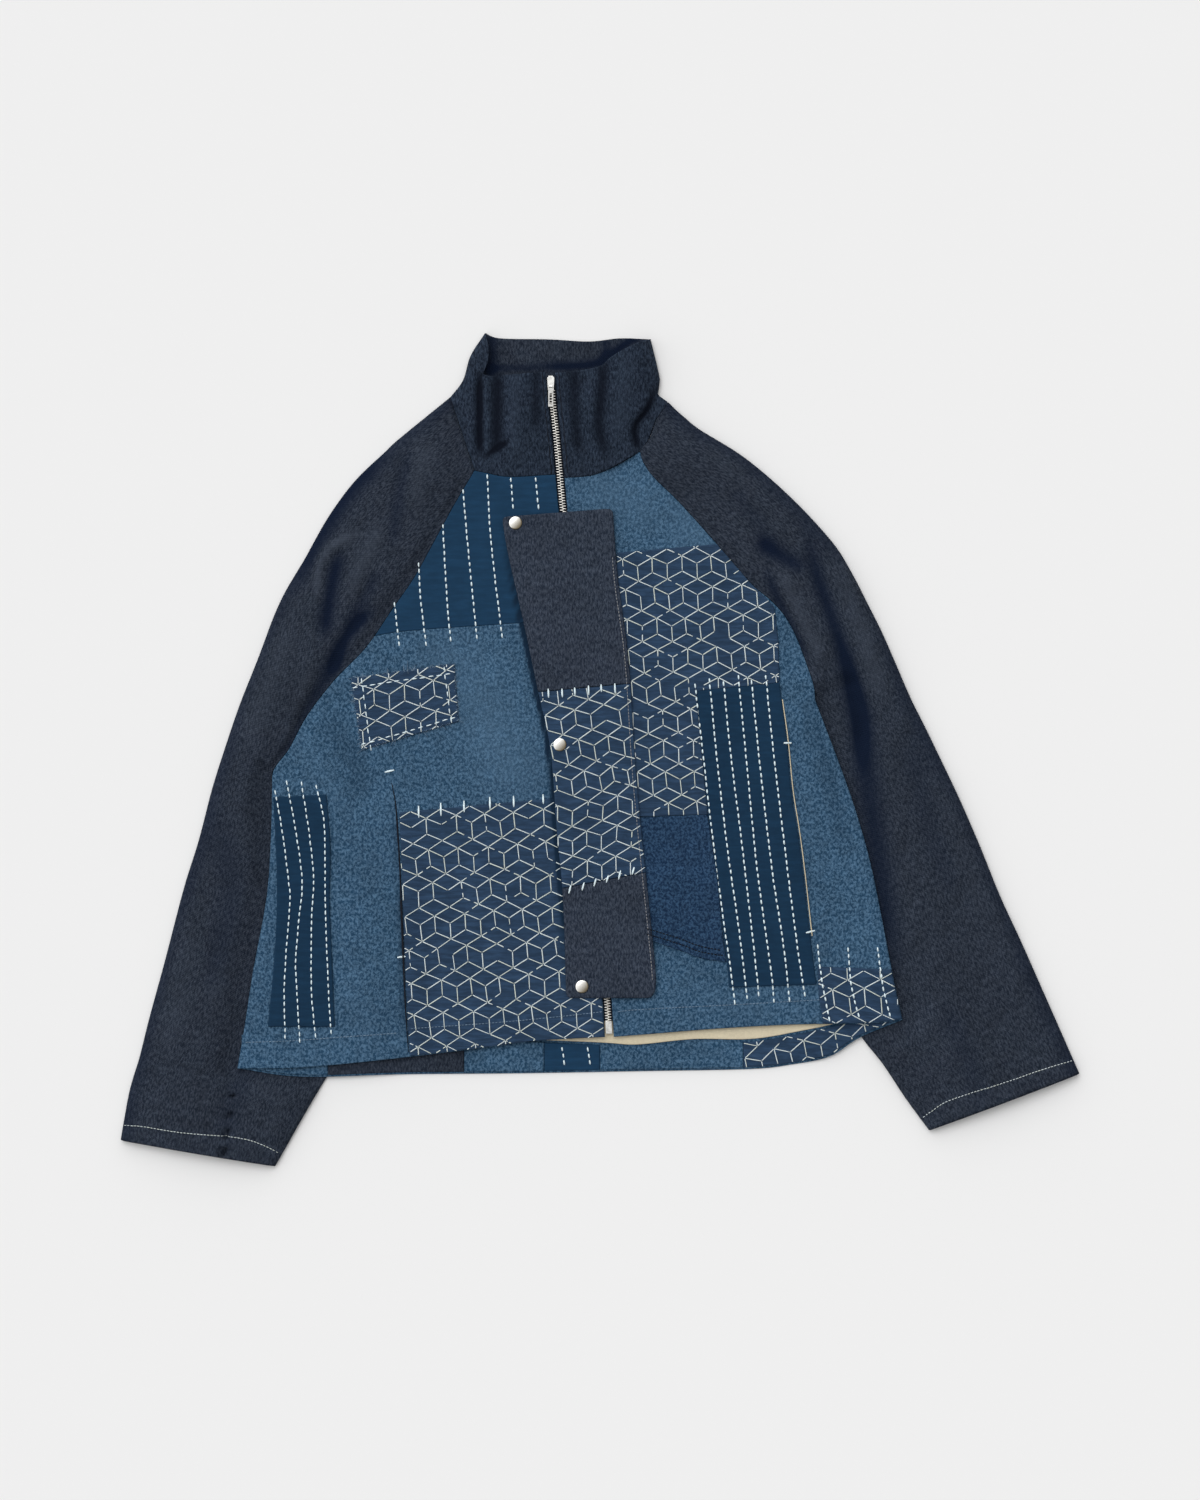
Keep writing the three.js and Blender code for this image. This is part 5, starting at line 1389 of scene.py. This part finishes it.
class BORO_OT_zip(bpy.types.Operator):
    """Zip teeth and tapes, and the metal of the slider, pull tab and end box"""
    bl_idname = "boro.zip"
    bl_label = "Zip"

    def execute(self, context):
        run = span(zip_line, ZIP_BOTTOM, ZIP_TOP)
        total = length(run)
        starts = np.arange(0, total, TOOTH_PITCH)
        teeth = []
        for side, offset in ((-1, 0.0), (1, TOOTH_PITCH / 2)):
            middle = along(run, (starts + offset) / total)
            x = middle[:, :1] + side * np.array(TOOTH_ACROSS)
            y = np.broadcast_to(middle[:, 1:], x.shape)
            teeth.append(np.stack([x, y, upper_lay(x, y) + TEETH_HEIGHT], -1))
        points, faces, _ = tubes(np.concatenate(teeth), np.array(TOOTH_RADII), sides=6, flat=1.4)
        add_piece("zip_teeth", write_mesh("zip_teeth", points, faces), "zip_nickel",
                  ["zip_chain"])
        for name, side in (("right", -1), ("left", 1)):
            edges = [run + (side * TAPE_INNER, 0), run + (side * (ZIP_EDGE + TAPE_WIDTH), 0)]
            tape = add_sheet(f"zip_tape_{name}_cloth", strip(*edges[::side]), raised(upper_lay, -GAP - TAPE),
                             TAPE, "zip_braid")
        for name in ("zip_slider", "zip_pull_tab", "zip_end_box"):
            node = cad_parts[name]
            node.data.materials.clear()
            node.data.materials.append(bpy.data.materials["nickel"])
            node.modifiers.new("joined", "WELD").merge_threshold = METAL_WELD
            bevel = node.modifiers.new("softened", "BEVEL")
            bevel.width, bevel.segments, bevel.limit_method = METAL_BEVEL, 2, "ANGLE"
        return {"FINISHED"}


class BORO_OT_snaps(bpy.types.Operator):
    """Three polished snap caps: a shallow dome with a rounded rim"""
    bl_idname = "boro.snaps"
    bl_label = "Snaps"

    def execute(self, context):
        profile = np.array(SNAP_PROFILE)
        rings = len(profile)
        angle = np.arange(SNAP_SIDES) * 2 * np.pi / SNAP_SIDES
        ring = np.stack([np.cos(angle), np.sin(angle)], -1)
        index, walls = ring_walls(rings, SNAP_SIDES)
        ends = np.stack([index[0, ::-1], index[-1]])
        slope = np.gradient(profile[:, 1], profile[:, 0] - 1e-4 * np.arange(rings))
        # Painted reflection: how far each point of a cap turns toward the window's side.
        painted_reflection = -slope[:, None] * (ring @ np.array(REFLECTION_TOWARD))
        cap = np.concatenate([
            np.broadcast_to(profile[:, None, :1] * ring, (rings, SNAP_SIDES, 2)),
            np.broadcast_to(profile[:, None, 1:], (rings, SNAP_SIDES, 1))], -1)
        for number in (1, 2, 3):
            low, high = (np.array(corner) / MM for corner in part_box(f"snap_cap_{number}"))
            centre = (low + high) / 2
            base = upper_lay(*(np.array([v]) for v in centre[:2]))[0] + 2 * LIFT + PLACKET - SNAP_SINK
            points = cap + (centre[0], centre[1], base)
            mesh = write_mesh(f"snap_{number}", points.reshape(-1, 3), [walls, ends],
                              fields={"painted_reflection": np.clip(painted_reflection, -1, 1).ravel()})
            add_piece(f"snap_{number}", mesh, "snap_nickel", [f"snap_cap_{number}"])
        return {"FINISHED"}


class BORO_OT_running_stitches(bpy.types.Operator):
    """Rows of white running stitches on the yoke, the striped patches and the hem"""
    bl_idname = "boro.running_stitches"
    bl_label = "Running stitches"

    def execute(self, context):
        groups = [
            ("yoke_stitches", YOKE_ROWS, surface_top, STITCH_RADIUS),
            ("side_patch_stitches", SIDE_ROWS, surface_top, SIDE_STITCH_RADIUS),
            ("stripe_panel_stitches", STRIPE_ROWS, surface_top, STITCH_RADIUS),
            ("corner_stitches", CORNER_ROWS, surface_top, STITCH_RADIUS),
            ("facing_stitches", FACING_ROWS, facing_top, STITCH_RADIUS),
        ]
        for seed, (name, rows, top, radius) in enumerate(groups):
            paths, radii = stitches(rows, STITCH_PITCH, STITCH_LENGTH, radius, top, 7, seed=seed)
            add_threads(name, paths, radii, "white_thread", sides=6, seed=seed)
        paths, radii = stitches(
            CHEST_PATCH_ROWS, **CHEST_STITCH, top=surface_top, rings=5, wander=0.6, seed=9)
        add_threads("chest_patch_stitches", paths, radii, "white_thread", seed=9)
        return {"FINISHED"}


class BORO_OT_cube_stitches(bpy.types.Operator):
    """The cube pattern in off-white thread, with the strands that have worn through"""
    bl_idname = "boro.cube_stitches"
    bl_label = "Cube pattern"

    def execute(self, context):
        for seed, (panel, field) in enumerate(CUBE_FIELDS.items()):
            top = facing_top if panel.startswith("back") else surface_top
            paths, radii = cube_threads(panel, field, top, seed)
            add_threads(panel + "_cubes", paths, radii, seed=20 + seed)
        return {"FINISHED"}


def cube_threads(panel, field, top, seed):
    """Straight threads between the nodes start + c column + k unit.

    An even column c has an upright from k to k + 2 where k is a multiple of four, and an odd one has it
    a unit lower; each end is joined to the nearest ends in the columns beside it. Threads are cut to the
    panel, and a few are missing or end early.
    """
    threads = np.array([
        (0, 0, 0, 2), (0, 0, 1, 1), (0, 0, -1, 1), (0, 2, 1, 3), (0, 2, -1, 3),
        (1, 1, 1, 3), (1, 3, 0, 4), (1, 3, 2, 4),
    ])
    columns, units = np.meshgrid(np.arange(-24, 26, 2), np.arange(-40, 60, 4))
    base = np.stack([columns, units, columns, units], -1).reshape(-1, 1, 4)
    ends = (base + threads).reshape(-1, 2, 2)
    start, column, unit = (np.array(field[key], float) for key in ("start", "column", "unit"))
    nodes = start + ends[..., :1] * column + ends[..., 1:] * unit
    if panel == "placket_middle":
        bend, slope = PLACKET_BEND
        nodes[..., 0] -= slope * np.maximum(bend - nodes[..., 1], 0)
    x, y = nodes[..., 0].copy(), nodes[..., 1].copy()
    nodes[..., 0] += CUBE_WANDER * np.sin(x / 19 + y / 13 + seed)
    nodes[..., 1] += CUBE_WANDER * np.sin(x / 14 - y / 23 + 2 * seed)

    t = np.linspace(0.03, 0.97, 16)
    samples = nodes[:, :1] + (nodes[:, 1:] - nodes[:, :1]) * t[:, None]
    shown = inside(PANELS[panel], samples[..., 0], samples[..., 1])
    if panel != "placket_middle":
        shown &= ~inside(PANELS["placket"], samples[..., 0], samples[..., 1])
    first = np.where(shown, t, 2.0).min(1)
    last = np.where(shown, t, -1.0).max(1)
    rng = np.random.default_rng(SEED + 40 + seed)
    luck = rng.random((len(nodes), 2))
    worn = (luck[:, 0] < CUBE_ENDED) & (last > first)
    reach = last - first
    second = nodes[worn], (first + reach * (0.55 + 0.25 * luck[:, 1]))[worn], last[worn]
    last = np.where(worn, first + reach * (0.25 + 0.3 * luck[:, 1]), last)
    nodes, first, last = (np.concatenate(pair) for pair in zip((nodes, first, last), second))
    kept = (last - first > CUBE_LEAST) & (rng.random(len(nodes)) > CUBE_LOST)
    nodes, first, last = nodes[kept], first[kept], last[kept]
    t = first[:, None] + (last - first)[:, None] * np.linspace(0, 1, 6)
    flat_paths = nodes[:, :1] + (nodes[:, 1:] - nodes[:, :1]) * t[..., None]
    height = top(flat_paths[..., 0], flat_paths[..., 1]) + CUBE_RADIUS * 0.35
    radii = CUBE_RADIUS * (0.8 + 0.3 * rng.random((len(nodes), 1))) * np.array([0.9, 1, 1, 1, 1, 0.9])
    return lifted(flat_paths, height), radii


class BORO_OT_hand_stitches(bpy.types.Operator):
    """Whip stitches over the patch edges, bar tacks at the pockets, and a black line of painted shadow in the
    pocket slit
    """
    bl_idname = "boro.hand_stitches"
    bl_label = "Whip stitches and bar tacks"

    def execute(self, context):
        upright = [[(x, high), (x + HIGH_WHIP_SLANT, low)]
                   for x, high, low in POCKET_WHIPS + PLACKET_WHIPS_HIGH]
        slanted = [[(x, low), (x + LOW_WHIP_SLANT, high)] for x, low, high in PLACKET_WHIPS_LOW]
        t = np.linspace(0, 1, 7)
        for name, ends, radius, seed in (
                ("whip_stitches", upright + slanted, WHIP_RADIUS, 60),
                ("bar_tacks", BAR_TACKS, TACK_RADIUS, 61)):
            ends = np.array(ends, float)
            places = ends[:, :1] + (ends[:, 1:] - ends[:, :1]) * t[:, None]
            top = surface_top(places[..., 0], places[..., 1])
            top = np.maximum(top, np.maximum(np.roll(top, 1, 1), np.roll(top, -1, 1)) - 0.9)
            bow = np.sin(np.pi * t)
            add_threads(name, lifted(places, top + radius * (0.8 * bow - 0.1)), radius * (0.6 + 0.4 * bow),
                        "white_thread", sides=6, seed=seed)
        # A black line laid in the pocket slit as its painted shadow.
        run = along(smooth(POCKET_SLIT), np.linspace(0, 1, 40))
        top = surface_top(run[:, 0] + 1.5, run[:, 1]) - 0.4
        swell = np.sin(np.pi * np.linspace(0.03, 0.97, 40) ** 0.6) ** 0.5
        add_threads("pocket_slit_shadow", lifted(run, top)[None], SLIT_RADIUS * swell, "black_thread_and_shadow_lines")
        return {"FINISHED"}


class BORO_OT_topstitching(bpy.types.Operator):
    """Machine stitches at hems, cuffs and placket, dark lines of painted shade in the collar's seams beside
    the zip, and the frayed edge of the chest patch
    """
    bl_idname = "boro.topstitching"
    bl_label = "Topstitching and frayed edge"

    def execute(self, context):
        placket_rows = [beside(smooth(PLACKET_SEWN_EDGE), -PLACKET_STITCH_INSET)[6:-4]]
        groups = [
            ("hem_topstitch", HEM_ROWS, surface_top, "blue_thread", TOPSTITCH_RADIUS),
            ("jeans_topstitch", JEANS_HEM_ROWS, surface_top, "black_thread_and_shadow_lines", JEANS_STITCH_RADIUS),
            ("placket_topstitch", placket_rows, surface_top, "tan_thread", TOPSTITCH_RADIUS),
        ]
        for sleeve, row in zip(SLEEVES, CUFF_ROWS):
            top = partial(on_grid, SLEEVE_TOPS[sleeve])
            groups.append(("cuff_topstitch_" + sleeve.split("_")[0], [row], top, "thread", TOPSTITCH_RADIUS))
        for seed, (name, rows, top, finish, radius) in enumerate(groups, 70):
            paths, radii = stitches(rows, TOPSTITCH_PITCH, TOPSTITCH_LENGTH, radius, top, 4, 0.1, seed)
            add_threads(name, paths, radii, finish, sides=4, seed=seed)

        # Dark lines of painted shade in the seam grooves beside the zip on the collar.
        seams = np.stack([beside(span(zip_line, 262, 356), by) for by in (-COLLAR_SEAM, COLLAR_SEAM)])
        level = upper_lay(seams[..., 0], seams[..., 1]) + COLLAR - 0.1
        add_threads("collar_zip_seam_shadows", lifted(seams, level), COLLAR_SEAM_RADIUS, "black_thread_and_shadow_lines",
                    sides=4)

        rng = np.random.default_rng(SEED + 90)
        border = PANELS["right_chest_patch"]
        border = np.vstack([border, border[:1]])
        share = np.sort(rng.random(FRAY_THREADS))
        root = along(border, share)
        centre = border.mean(0)
        out = root - centre
        out /= np.linalg.norm(out, axis=1)[:, None]
        out += rng.normal(0, 0.7, out.shape)
        t = np.linspace(0, 1, 5)
        reach = rng.uniform(*FRAY_REACH, (len(root), 1, 1))
        curl = rng.normal(0, 1.2, (len(root), 1, 2)) * (t * t)[:, None]
        places = root[:, None] + out[:, None] * t[:, None] * reach + curl - out[:, None]
        height = surface_top(places[..., 0], places[..., 1]) + 0.2
        add_threads("chest_patch_fray", lifted(places, height), np.array(FRAY_RADII), "blue_thread",
                    sides=4, seed=91)
        return {"FINISHED"}


OPERATORS = [
    BORO_OT_stage, BORO_OT_back, BORO_OT_sleeves, BORO_OT_fronts, BORO_OT_patches, BORO_OT_placket,
    BORO_OT_collar, BORO_OT_zip, BORO_OT_snaps, BORO_OT_running_stitches, BORO_OT_cube_stitches,
    BORO_OT_hand_stitches, BORO_OT_topstitching,
]


class BORO_PT_jacket(bpy.types.Panel):
    """Lists the steps that make the jacket"""
    bl_idname = "BORO_PT_jacket"
    bl_label = "Patched boro jacket"
    bl_space_type = "VIEW_3D"
    bl_region_type = "UI"
    bl_category = "Boro"

    def draw(self, context):
        for group in (context.scene.jacket_cloths, context.scene.jacket_stage):
            for key in group.__annotations__:
                self.layout.prop(group, key)
        for operator in OPERATORS:
            self.layout.operator(operator.bl_idname)


CLASSES = [JacketCloths, JacketStage, *OPERATORS, BORO_PT_jacket]


def register():
    """Adds the settings, the operators and the panel."""
    for cls in CLASSES:
        bpy.utils.register_class(cls)
    bpy.types.Scene.jacket_cloths = bpy.props.PointerProperty(type=JacketCloths)
    bpy.types.Scene.jacket_stage = bpy.props.PointerProperty(type=JacketStage)


def unregister():
    """Removes them."""
    del bpy.types.Scene.jacket_stage
    del bpy.types.Scene.jacket_cloths
    for cls in reversed(CLASSES):
        bpy.utils.unregister_class(cls)


def main():
    """Makes the jacket on its stage."""
    register()
    add_finishes(bpy.context.scene.jacket_cloths)
    for operator in OPERATORS:
        group, name = operator.bl_idname.split(".")
        getattr(getattr(bpy.ops, group), name)()


if __name__ == "__main__":
    main()
